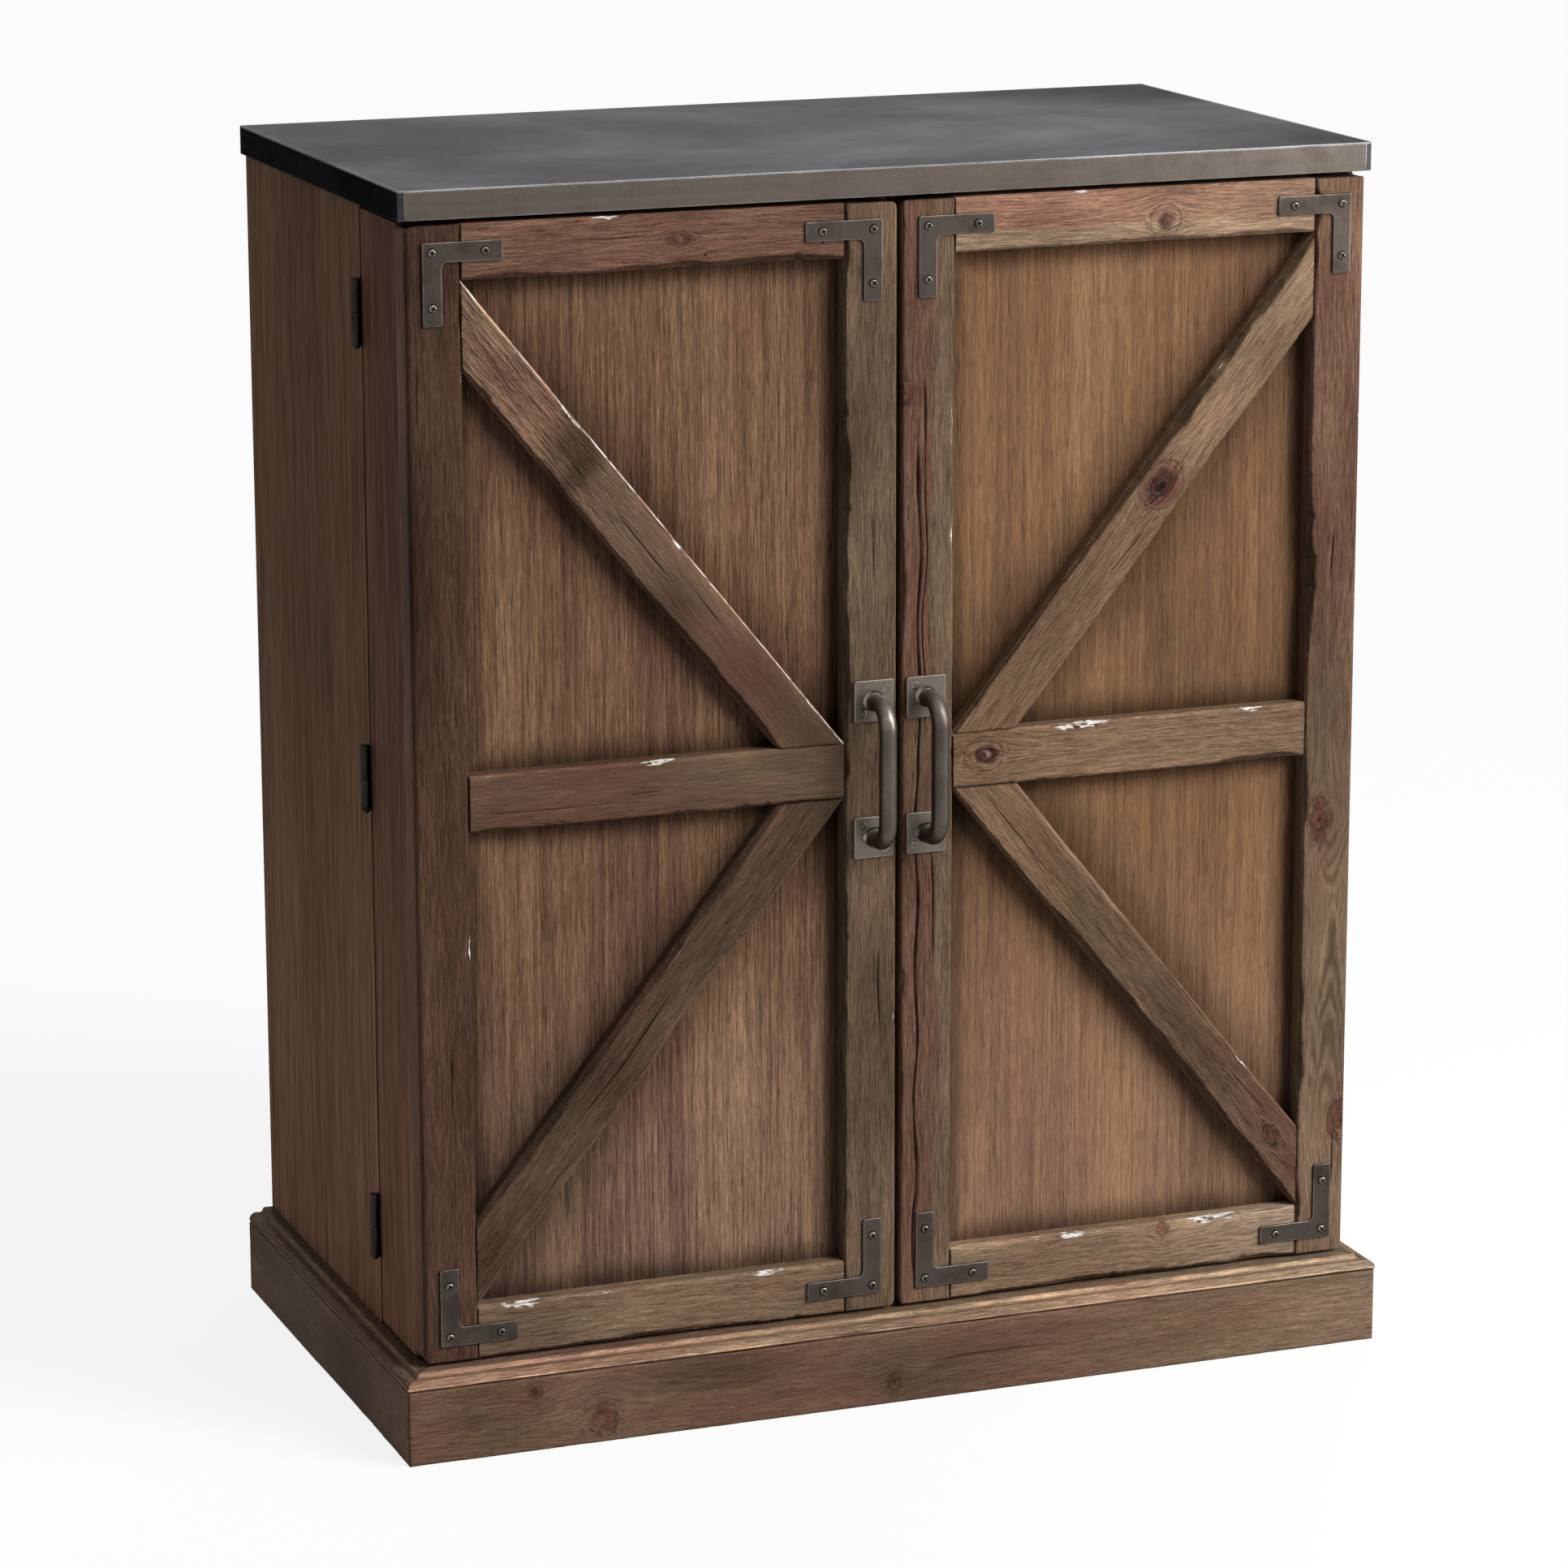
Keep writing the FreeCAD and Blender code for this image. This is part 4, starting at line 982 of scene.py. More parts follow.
def axis_frame(node, along, across, inward):
    """Origin, axes and size of a node's box for a board; each axis is given as a sign and a letter."""
    low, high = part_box(node)
    origin = np.zeros(3)
    axes = np.zeros((3, 3))
    size = np.zeros(3)
    for row, (sign, letter) in enumerate((along, across, inward)):
        axis = "xyz".index(letter)
        origin[axis] = low[axis] if sign == "+" else high[axis]
        axes[row, axis] = 1 if sign == "+" else -1
        size[row] = high[axis] - low[axis]
    return origin, axes, size


def brace_frame(node):
    """Origin, axes, size and end slants of a diagonal board, read from its corners in the frame."""
    vertices = {(round(v.co.x, 5), round(v.co.z, 5)) for v in NODES[node].data.vertices}
    corners = [np.array((x, 0.0, z)) for x, z in vertices]
    outer_x = max(abs(corner[0]) for corner in corners)
    at_stile = [corner for corner in corners if abs(corner[0]) > outer_x - 1 * MM]
    at_rail = sorted((c for c in corners if abs(c[0]) <= outer_x - 1 * MM), key=lambda c: abs(c[0]))
    at_stile.sort(key=lambda corner: -abs(corner[2] - at_rail[0][2]))
    along = at_rail[0] - at_stile[0]
    length = np.linalg.norm(along)
    along /= length
    offset = at_stile[1] - at_stile[0]
    across = offset - along * (offset @ along)
    width = np.linalg.norm(across)
    across /= width
    low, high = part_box(node)
    origin = at_stile[0] + np.array((0.0, low.y, 0.0))
    start = np.array(((offset @ along) / width, 0.0))
    end = np.array((((at_rail[1] - at_stile[0]) @ along - length) / width, 0.0))
    return origin, (along, across, (0.0, 1.0, 0.0)), (length, width, high.y - low.y), start, end


def brace_line(node):
    """A point on a diagonal board's middle line, the normal of that line and half the board's width."""
    origin, (_, across, _), (_, width, _), _, _ = brace_frame(node)
    return tuple(origin + across * width / 2), tuple(across), width / 2


UPRIGHT = ("+z", "+x", "+y")
LEVEL = ("+x", "+z", "+y")
DOOR_CORNER = {"left_door": 8.0 * MM, "right_door": 5.0 * MM}
STILE_ROUND = {"hinge": 5.0 * MM, "meeting": 3.2 * MM}

STILE_LOOKS = {
    # Its line is a painted highlight along the back of its outer side, and its side makes that outer side
    # lighter as painted light.
    "left_door_hinge_stile": Look(
        3, (0.15, 0.0, 0.05, 0.25, 0.1), 0.50, Wear(0.8, 0.4),
        Wear(1.2, 1.1, ((0.37, 16, 4.0), (0.60, 9, 3.0), (0.87, 6, 2.5)), pale=0.45),
        cracks=((0.20, 0.30, 0.62, 0.8, 1.4), (0.44, 0.50, 0.45, 0.7, 1.2)),
        stains=((0.72, 0.1, 150, 0.45), (0.96, 0.3, 60, 0.3)), lines=((2, 24.4, 0.9, 2.6),), side=(2.0, 1.9)),
    "left_door_meeting_stile": Look(
        7, (0.9, 1.0, 0.85, 1.0, 0.95), 0.81, Wear(1.6, 3.4, stain=0.5),
        Wear(0.8, 0.8, ((0.27, 8, 3.5),), pale=0.5),
        cracks=((0.66, 0.74, 0.55, 0.8, 1.5), (0.24, 0.35, 0.66, 0.7, 1.4), (0.40, 0.47, 0.30, 0.7, 1.2)),
        stains=((0.80, 0.0, 80, 0.35), (0.25, 0.5, 170, 0.28))),
    "right_door_meeting_stile": Look(
        11, (0.2, 0.1, 0.25, 0.1, 0.35), 0.82,
        Wear(1.0, 1.4, ((0.30, 14, 4.5), (0.42, 9, 3.5)), 0.5, pale=0.2),
        Wear(1.4, 1.8, ((0.80, 32, 3.0), (0.70, 12, 3.5)), 0.6, pale=0.6), ("high", 0.30, 0.10),
        knots=(Knot(0.83, 0.06, 8, 0.6),),
        cracks=((0.02, 0.80, 0.30, 1.3, 3.2), (0.52, 0.86, 0.42, 0.9, 1.6), (0.30, 0.44, 0.58, 0.8, 1.4)),
        stains=((0.45, 0.5, 210, 0.15),)),
    "right_door_hinge_stile": Look(
        17, (0.75, 0.85, 0.9, 0.40, 0.1, 0.3), 0.86, Wear(1.8, 3.4, stain=0.5),
        Wear(0.8, 0.9, ((0.79, 14, 3.0),), pale=0.4),
        knots=(Knot(0.414, 0.34, 14.5, 0.36, 1.7, 0.9), Knot(0.414, 0.36, 3.5, 1.0, 1.0, 0.0),
               Knot(0.125, 0.90, 17, 0.36, 1.4, 0.9), Knot(0.125, 0.93, 3.5, 1.0, 1.0, 0.0)),
        cracks=((0.62, 0.70, 0.48, 0.9, 1.8), (0.05, 0.13, 0.70, 0.7, 1.3)),
        stains=((0.60, 0.5, 190, 0.25), (0.98, 0.5, 90, -0.2), (0.12, 0.5, 150, -0.25)),
        arches=((0.349, 0.62, -70, 22, 0.30), (0.318, 0.62, 190, 22, 0.42)),
        contrast=(1.0, 0.7, 0.6, 1.0, 1.0, 1.0)),
}

RAIL_LOOKS = {
    "left_door_top_rail": Look(
        23, (0.0, 0.1, 0.05, 0.2, 0.2), 0.98, Wear(2.0, 2.8, stain=0.5), Wear(1.0, 0.8, ((0.38, 16, 2.6),)),
        knots=(Knot(0.56, 0.52, 9, 0.25, 1.6, 0.15),), cracks=((0.30, 0.50, 0.62, 0.6, 0.9),),
        stains=((0.92, 0.5, 70, 0.2), (0.40, 0.5, 60, -0.1))),
    "left_door_middle_rail": Look(
        29, (0.15, 0.05, 0.3, 0.7, 0.8), 0.71, Wear(1.4, 3.2, ((0.20, 26, 3.4),), 0.6, pale=0.1),
        Wear(2.2, 1.0, ((0.48, 24, 3.8),), 1.3, 0.08),
        cracks=((0.40, 0.52, 0.42, 0.7, 1.1), (0.02, 0.40, 0.30, 0.5, 0.7)),
        stains=((0.5, 0.0, 90, 0.2),), contrast=(0.6, 0.6)),
    "left_door_bottom_rail": Look(
        31, (0.75, 0.9, 0.8, 0.85, 0.9), 1.22, Wear(1.2, 1.8, ((0.62, 30, 2.5),), 0.5, pale=0.3),
        Wear(2.4, 1.8, ((0.125, 24, 5.0), (0.79, 26, 4.2)), 1.2, 0.15),
        stains=((0.12, 0.5, 60, 0.25), (0.50, 0.6, 70, -0.2), (0.95, 0.5, 60, 0.2))),
    "right_door_top_rail": Look(
        37, (0.0, 0.0, 0.1, 0.3, 0.4), 1.66, Wear(1.8, 3.0, stain=0.6),
        Wear(1.1, 0.8, ((0.355, 11, 2.8), (0.72, 7, 2.0))), ("low", 0.36, 0.10),
        knots=(Knot(0.578, 0.36, 15, 0.95, 1.1, 0.3),),
        stains=((0.15, 0.5, 60, 0.12), (0.80, 0.5, 60, -0.2))),
    "right_door_middle_rail": Look(
        41, (0.2, 0.5, 0.5, 0.65, 0.8), 0.97, Wear(1.4, 3.0, ((0.34, 26, 2.6),), 0.55, pale=0.1),
        Wear(2.0, 1.4, ((0.365, 34, 5.4), (0.85, 15, 3.6)), 1.3, 0.12),
        knots=(Knot(0.085, 0.55, 15, 0.8, 1.35, 0.25),), golden=(0.5, 0.3)),
    "right_door_bottom_rail": Look(
        43, (1.0, 0.95, 0.9, 1.2, 1.3), 1.40,
        Wear(1.4, 2.6, ((0.30, 20, 3.0), (0.80, 22, 2.6)), 0.5, pale=0.2),
        Wear(2.2, 1.8, ((0.35, 18, 3.6), (0.77, 34, 5.0)), 1.2, 0.2),
        knots=(Knot(0.61, 0.85, 9, 0.35, 0.8, 0.5),),
        stains=((0.10, 0.5, 70, 0.12), (0.32, 0.5, 50, 0.15), (0.82, 0.5, 110, -0.25))),
}

BRACE_LOOKS = {
    # Its first edge's stain and bare paint a bright highlight line along it.
    "left_door_upper_brace": Look(
        47, (0.8, 0.2, 0.6, 0.7, 0.0, 0.9), 1.04,
        Wear(1.7, 0.5, ((0.27, 34, 3.0), (0.56, 16, 2.6)), 3.2, 0.95), Wear(1.6, 2.4, stain=0.5),
        cracks=((0.44, 0.60, 0.55, 0.7, 1.3), (0.62, 0.72, 0.35, 0.6, 1.0)),
        stains=((0.32, 0.35, 30, 0.5), (0.36, 0.60, 16, 0.5), (0.62, 0.9, 45, 0.4), (0.92, 0.5, 190, 0.5)),
        contrast=(1.6, 1.5, 1.1, 0.7, 0.5, 0.5)),
    "left_door_lower_brace": Look(
        53, (0.55, 0.7, 0.45, 0.8, 0.6), 0.55, Wear(2.4, 5.0, stain=1.5), Wear(2.0, 2.2),
        cracks=((0.30, 0.60, 0.52, 0.8, 1.5),),
        stains=((0.08, 0.5, 40, 0.25), (0.25, 0.5, 30, -0.15), (0.42, 0.5, 40, 0.25))),
    "right_door_upper_brace": Look(
        59, (0.9, 0.8, 0.3, 0.35, 0.4), 1.14,
        Wear(2.6, 3.2, ((0.265, 12, 3.0),), 0.42, pale=0.15), Wear(1.8, 3.4, stain=0.8),
        knots=(Knot(0.475, 0.50, 20, 1.0, halo=1.0),), cracks=((0.52, 0.66, 0.70, 0.6, 1.0),),
        stains=((0.85, 0.5, 230, 0.32), (0.05, 0.5, 70, -0.25)), golden=(0.2, 0.4, 0.5, 0.6, 0.5)),
    "right_door_lower_brace": Look(
        61, (0.1, 0.35, 0.5, 0.4, 0.15), 0.73, Wear(1.6, 2.4, stain=0.6),
        Wear(1.6, 1.2, ((0.27, 12, 3.2),), 1.4, 0.1),
        knots=(Knot(0.13, 0.5, 9, 0.3, 1.6, 0.4),), cracks=((0.74, 0.96, 0.4, 0.6, 1.0),),
        stains=((0.45, 0.5, 190, 0.25), (0.97, 0.5, 120, -0.28)), golden=(0.0, 0.2, 0.4, 0.5)),
}

# A painted highlight along the top edge of each plinth board, and painted shade right at that edge, under the
# moulding.
PLINTH_PAINTED_LIGHT = ((1, 64.4, 0.8, 1.45), (1, 66.0, 0.6, 0.4))
PLINTH_WEAR = (Wear(1.4, 0.6), Wear(1.4, 0.4, stain=0.55))
PLINTH_LOOKS = {
    # Its end stains, darker at the left and lighter at the right, are painted light that grows towards the
    # right.
    "plinth_front": Look(
        67, (0.3, 0.45, 0.2, 0.5, 0.4, 0.8, 1.1), 0.96, *PLINTH_WEAR,
        knots=(Knot(0.125, 0.80, 7, 0.9, 0.9, 0.2), Knot(0.19, 0.30, 20, 0.3, 0.9, 0.4),
               Knot(0.487, 0.30, 10, 0.45, 0.8, 0.5)),
        contrast=(0.8, 0.7, 0.7, 0.9),
        stains=((0.30, 0.6, 110, 0.35), (0.52, 0.4, 150, 0.35), (0.09, 0.55, 60, 0.3),
                (0.93, 0.5, 170, -0.2)),
        lines=PLINTH_PAINTED_LIGHT),
    "plinth_left": Look(
        71, (0.5, 0.3, 0.6, 0.4), 1.05, *PLINTH_WEAR, stains=((0.35, 0.5, 90, 0.3),), lines=PLINTH_PAINTED_LIGHT),
    "plinth_right": Look(
        73, (0.4, 0.6, 0.35, 0.5), 0.95, *PLINTH_WEAR, knots=(Knot(0.6, 0.5, 7, 0.7),), lines=PLINTH_PAINTED_LIGHT),
    "plinth_back": Look(79, (0.5, 0.7, 0.5), 0.8, Wear(1.2, 0.4), Wear(0.8, 0.3)),
}


def door_of(node):
    return next((door for door in DOORS if node.startswith(door)), "cabinet")


def panel_seat(node, edge):
    """The step in a frame board's back that holds the door's panel."""
    panel_low, panel_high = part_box(f"{door_of(node)}_panel")
    low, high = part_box(node)
    axis = 0 if "stile" in node else 2
    across = high[axis] - panel_low[axis] if edge == "high" else panel_high[axis] - low[axis]
    return edge, across, panel_low.y - low.y


def make_stiles():
    for node, look in STILE_LOOKS.items():
        board = Board(node, *axis_frame(node, *UPRIGHT), look)
        opens_right = (DOOR_SIDE[door_of(node)] < 0) == ("hinge" in node)
        board.rabbet = panel_seat(node, "high" if opens_right else "low")
        outer = (1, 0 if opens_right else 1)
        long_round = STILE_ROUND["hinge" if "hinge" in node else "meeting"]
        board.corner_round = [((0, end), outer, DOOR_CORNER[door_of(node)]) for end in (0, 1)]
        board.corner_round.append((outer, (2, 0), long_round))
        board.make(door_of(node))


def make_rails():
    for node, look in RAIL_LOOKS.items():
        board = Board(node, *axis_frame(node, *LEVEL), look)
        if "middle" not in node:
            board.rabbet = panel_seat(node, "low" if "top" in node else "high")
        board.make(door_of(node))


def make_braces():
    for node, look in BRACE_LOOKS.items():
        origin, axes, size, start, end = brace_frame(node)
        board = Board(node, origin, axes, size, look)
        board.start, board.end = start, end
        board.make(door_of(node))


BASE_AXES = {
    "front": (("+x", "+z", "+y"), (0.0, 1.0), (0.0, -1.0)),
    "left": (("+y", "+z", "+x"), (0.0, 1.0), (0.0, 0.0)),
    "right": (("+y", "+z", "-x"), (0.0, 1.0), (0.0, 0.0)),
    "back": (("+x", "+z", "-y"), (0.0, 0.0), (0.0, 0.0)),
}
CORNER_EASE = 3.0 * MM


def make_plinth():
    for node, look in PLINTH_LOOKS.items():
        directions, start, end = BASE_AXES[node.removeprefix("plinth_")]
        board = Board(node, *axis_frame(node, *directions), look)
        board.start, board.end = np.array(start), np.array(end)
        board.corner_round = [((0, side), (2, 0), CORNER_EASE)
                              for side, slant in enumerate((start, end)) if any(slant)]
        board.make("cabinet")


MOULDING_WEAR = (Wear(0.9, 0.2, stain=0.45), Wear(0.0, 0.0))
MOULDING_NOSE = 13.0
# Painted highlights along the nose and the lower lip, a painted shade line in the hollow, and painted shade
# on the ledge under the doors.
MOULDING_PAINTED_LIGHT = {
    "lines": ((2, MOULDING_NOSE - 0.3, 0.9, 1.75), (1, 1.7, 0.7, 2.1), (2, 9.6, 1.2, 0.6)),
    "side": (MOULDING_NOSE + 0.4, 0.60),
}
MOULDING_LOOKS = {
    "base_moulding_front": Look(83, (0.6, 0.6, 0.8, 0.9, 1.3), 1.65, *MOULDING_WEAR, **MOULDING_PAINTED_LIGHT),
    "base_moulding_left": Look(89, (0.8, 0.6, 0.8), 1.0, *MOULDING_WEAR, **MOULDING_PAINTED_LIGHT),
    "base_moulding_right": Look(97, (0.8, 0.6, 0.8), 1.1, *MOULDING_WEAR, **MOULDING_PAINTED_LIGHT),
}
MOULDING_STEP = 0.6 * MM
LEDGE_STEP = 1.6 * MM
TOUCHING = 0.1 * MM


def moulded_outline(node, directions):
    """A moulding's outline in (b, c), read from the frame and divided into short steps where it shows."""
    origin, axes, size = axis_frame(node, *directions)
    vertices = np.array([vertex.co for vertex in NODES[node].data.vertices])
    local = np.unique(np.round(((vertices - origin) @ axes.T)[:, 1:], 5), axis=0)
    offset = local - size[1:] / 2
    ring = local[np.argsort(np.arctan2(offset[:, 1], offset[:, 0]))]

    def step(start, end):
        if min(start[0], end[0]) > size[1] - TOUCHING:
            return LEDGE_STEP
        hidden = max(start[0], end[0]) < TOUCHING or min(start[1], end[1]) > size[2] - TOUCHING
        return HIDDEN_STEP if hidden else MOULDING_STEP

    return divided(ring, step)


def make_mouldings():
    for node, look in MOULDING_LOOKS.items():
        directions, start, end = BASE_AXES[node.removeprefix("base_moulding_")]
        board = Board(node, *axis_frame(node, *directions), look)
        board.start, board.end = np.array(start), np.array(end)
        board.outline = moulded_outline(node, directions)
        board.nose = MOULDING_NOSE * MM
        board.make("cabinet")


# Metal top

PLATE_CORNER = 1.6 * MM
EASE_RINGS = 4
EDGE_BAND = 0.9 * MM
BACK_WEAR = 0.3
SHEET_STEP = 14.0 * MM
FLAP_EASE = 0.3 * MM
TOP_BEND = 1.1 * MM
TOP_CORNER = 1.6 * MM
TOP_FLAP = 0.7 * MM
FLAP_INSET = 5.0 * MM
FLAP_CORNER = 4.0 * MM
TOP_WAVE = 0.15 * MM
TOP_FADE = 80.0 * MM
# The bends are worn and carry a painted highlight; the middle of the top has a polished patch painted
# brighter and bluer as a sheen, and its ends have painted shade.
BEND_WEAR_AND_HIGHLIGHT = 0.6
POLISH_AND_SHEEN = {"middle": (0.04, 0.15), "half": (0.30, 0.15), "wear": 0.42}
RIGHT_PAINTED_SHADE = 0.50
LEFT_PAINTED_SHADE = 0.22
PAINTED_SHADE_FROM = 0.10
RIGHT_PAINTED_SHADE_REACH = 0.28
LEFT_PAINTED_SHADE_REACH = 0.25
TOP_WAVE_LENGTH = 220.0 * MM
TOP_SEED = 101
TOP_RINGS = (0.01, *np.linspace(0.04, 0.96, 24))
BEND_STEPS = 5


def rounded_outline(corners, radii, steps=6):
    """A closed outline with each corner turned into an arc of its radius."""
    corners = [np.array(corner, float) for corner in corners]
    points = []
    for index, corner in enumerate(corners):
        radius = radii[index]
        to_last = corners[index - 1] - corner
        to_next = corners[(index + 1) % len(corners)] - corner
        to_last /= np.linalg.norm(to_last)
        to_next /= np.linalg.norm(to_next)
        half = math.acos(np.clip(to_last @ to_next, -1, 1)) / 2
        middle_way = (to_last + to_next) / np.linalg.norm(to_last + to_next)
        centre = corner + middle_way * radius / math.sin(half)
        first = corner + to_last * radius / math.tan(half) - centre
        last = corner + to_next * radius / math.tan(half) - centre
        for step in range(steps + 1):
            way = first * (1 - step / steps) + last * step / steps
            points.append(centre + way / np.linalg.norm(way) * radius)
    return np.array(points)


def inset(outline, distance):
    """The outline moved inwards; it runs anticlockwise."""
    ahead = np.roll(outline, -1, axis=0) - outline
    ahead /= np.linalg.norm(ahead, axis=1)[:, None]
    normal = np.stack([-ahead[:, 1], ahead[:, 0]], -1)
    both = normal + np.roll(normal, 1, axis=0)
    both /= np.maximum(np.sum(both * np.roll(normal, 1, axis=0), axis=1), 0.2)[:, None]
    return outline + both * distance


class Shapes:
    """Collects solids into one mesh, with the wear of each point."""

    def __init__(self):
        self.points = []
        self.wear = []
        self.faces = []
        self.count = 0

    def rings(self, rings, wear):
        """A solid through rings of equally many points, closed by one face at each end."""
        rings = np.array(rings)
        rows, columns, _ = rings.shape
        points = rings.reshape(-1, 3)
        ring = np.arange(columns)
        faces = [loft_faces(rows, columns), ring[None, ::-1], ring[None] + (rows - 1) * columns]
        if signed_volume(points, faces) < 0:
            faces = [group[:, ::-1] for group in faces]
        self.points.append(points)
        self.wear.append(np.broadcast_to(np.reshape(wear, (rows, -1)), (rows, columns)).ravel())
        self.faces += [group + self.count for group in faces]
        self.count += len(points)

    def make(self, name, material, body, slot, replaced):
        data = {"wear": np.concatenate(self.wear)}
        make_piece(name, np.concatenate(self.points), self.faces, data, material, body, replaced)


def plate_rings(outline, ease, thickness, placed, face_wear=0.1, edge_wear=1.0):
    """Rings of a plate with eased front edges; placed turns (outline, height) into points."""
    levels = [(0.0, 0.0, BACK_WEAR)]
    for turn in np.linspace(0, math.pi / 2, EASE_RINGS):
        levels.append((ease * (1 - math.cos(turn)), thickness - ease * (1 - math.sin(turn)), edge_wear))
    levels.append((ease + EDGE_BAND, thickness, face_wear))
    return [placed(inset(outline, back), height) for back, height, _ in levels], [wear for *_, wear in levels]


def make_top():
    """The folded sheet: a pan with rounded bends, and a flap with rounded lower corners across its front."""
    low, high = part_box("top_metal_sheet")
    shapes = Shapes()
    front = low.y + TOP_FLAP
    corners = [(low.x, front), (high.x, front), (high.x, high.y), (low.x, high.y)]
    plan = dense_outline(rounded_outline(corners, [TOP_CORNER] * 4, 4), SHEET_STEP)
    inner = (high.x - low.x - NODES["top_core"].dimensions.x) / 2
    # The sheet's underside and sides get wear -1, painted shade on its side faces.
    levels = [(inner, low.z, -1.0), (0.0, low.z, -0.5), (0.0, low.z + 2 * MM, -1.0),
              (0.0, high.z - TOP_BEND - 1 * MM, -1.0)]
    for turn in np.linspace(0, math.pi / 2, BEND_STEPS + 1):
        levels.append((TOP_BEND * (1 - math.cos(turn)), high.z - TOP_BEND * (1 - math.sin(turn)), BEND_WEAR_AND_HIGHLIGHT))
    rings = [np.column_stack([inset(plan, back), np.full(len(plan), height)]) for back, height, _ in levels]
    wear = [np.full(len(plan), level[2]) for level in levels]
    edge = rings[-1]
    middle = edge.mean(0)
    for share in TOP_RINGS:
        ring = edge + (middle - edge) * share
        inside = np.minimum(ring[:, :2] - (low.x, front), (high.x, high.y) - ring[:, :2])
        fade = np.prod(smooth(inside / TOP_FADE), axis=1)
        ring[:, 2] -= TOP_WAVE * (0.5 + 0.5 * noise(ring, TOP_WAVE_LENGTH, TOP_SEED)) * fade
        # Painted sheen over a polished patch in the middle, and painted shade towards the right and left
        # ends.
        offset = (ring[:, :2] - (POLISH_AND_SHEEN["middle"][0], front + POLISH_AND_SHEEN["middle"][1])) / POLISH_AND_SHEEN["half"]
        rings.append(ring)
        polish_and_sheen = POLISH_AND_SHEEN["wear"] * np.exp(-np.sum(offset ** 2, axis=1))
        painted_end_shade = RIGHT_PAINTED_SHADE * smooth((ring[:, 0] - PAINTED_SHADE_FROM) / RIGHT_PAINTED_SHADE_REACH)
        painted_end_shade += LEFT_PAINTED_SHADE * smooth((-PAINTED_SHADE_FROM - ring[:, 0]) / LEFT_PAINTED_SHADE_REACH)
        wear.append(polish_and_sheen - painted_end_shade)
    shapes.rings(rings, np.array(wear))
    left = low.x + FLAP_INSET
    right = high.x - FLAP_INSET
    upper = high.z - TOP_BEND
    flap = rounded_outline([(left, low.z), (right, low.z), (right, upper), (left, upper)],
                           [FLAP_CORNER, FLAP_CORNER, PLATE_CORNER, PLATE_CORNER])
    shapes.make("clad_top", CLAD_METAL, "cabinet", "clad_metal", ("top_metal_sheet",))
    flap_shapes = Shapes()
    flap_shapes.rings(*plate_rings(dense_outline(flap, SHEET_STEP), FLAP_EASE, TOP_FLAP, facing(front)))
    flap_shapes.make("clad_top_flap", FLAP_METAL, "cabinet", "clad_metal", ())


# Fittings

BRACKET_WIDTH = 16.5 * MM
BRACKET_HOLLOW = 5.0 * MM
PLATE_EASE = 0.5 * MM
HANDLE_BAR = 7.5 * MM
HANDLE_BEND = 20.0 * MM
HANDLE_PLATE_THICKNESS = 3.0 * MM
WELD_FLARE = 2.0 * MM
WELD_LUMPS = 0.6
WELD_RINGS = ((-0.5, 1.0), (0.4, 1.0), (1.4, 0.4), (2.6, 0.0))
BEND_RINGS = 14
BAR_SIDES = 32
HEAD_RINGS = 26
HEAD_SIDES = 56
RECESS_ARM = 0.62
RECESS_WIDTH = 0.20
RECESS_DEPTH = 1.1 * MM
SCREW_HEADS = {"bracket": (3.8 * MM, 2.3 * MM), "handle": (3.75 * MM, 0.25 * MM)}
SHANK_LENGTH = 9.0 * MM
SHANK_SHARE = 0.45
FIRST_TURN = 0.4
NEXT_TURN = 1.1
BRACKET_STEP = 6.0 * MM
BRACKETS_APART = 80.0 * MM
SCREWS_APART = 2.0 * MM
HANDLE_STEP = 5.0 * MM


def islands(node, apart):
    """Boxes round the separate solids of a node, seen from the front."""
    groups = []
    for vertex in NODES[node].data.vertices:
        spot = np.array(vertex.co)
        near = [group for group in groups
                if np.all(spot > group[0] - apart) and np.all(spot < group[1] + apart)]
        merged = [spot, spot.copy()]
        for group in near:
            merged = [np.minimum(merged[0], group[0]), np.maximum(merged[1], group[1])]
            groups = [other for other in groups if other is not group]
        groups.append(merged)
    return groups


def facing(front):
    """A function that stands an outline in (x, z) on a plane that faces the front."""
    def placed(outline, height):
        depth = np.broadcast_to(front - height, len(outline))
        return np.column_stack([outline[:, 0], depth, outline[:, 1]])
    return placed


def make_brackets(door):
    node = f"{door}_corner_brackets"
    low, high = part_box(node)
    middle = (low + high) / 2
    shapes = Shapes()
    for first, last in islands(node, BRACKETS_APART):
        across = 1 if first[0] < middle.x else -1
        upward = 1 if first[2] < middle.z else -1
        corner = np.array((first[0] if across > 0 else last[0], first[2] if upward > 0 else last[2]))
        leg = last[0] - first[0]
        width = BRACKET_WIDTH
        shape = np.array([(0, 0), (leg, 0), (leg, width), (width, width), (width, leg), (0, leg)])
        radii = [PLATE_CORNER] * 3 + [BRACKET_HOLLOW] + [PLATE_CORNER] * 2
        outline = corner + rounded_outline(shape, radii) * (across, upward)
        if across * upward < 0:
            outline = outline[::-1]
        outline = dense_outline(outline, BRACKET_STEP)
        shapes.rings(*plate_rings(outline, PLATE_EASE, last[1] - first[1], facing(last[1])))
    shapes.make(f"{door}_bracket_plates", GUNMETAL, door, "gunmetal", (node,))


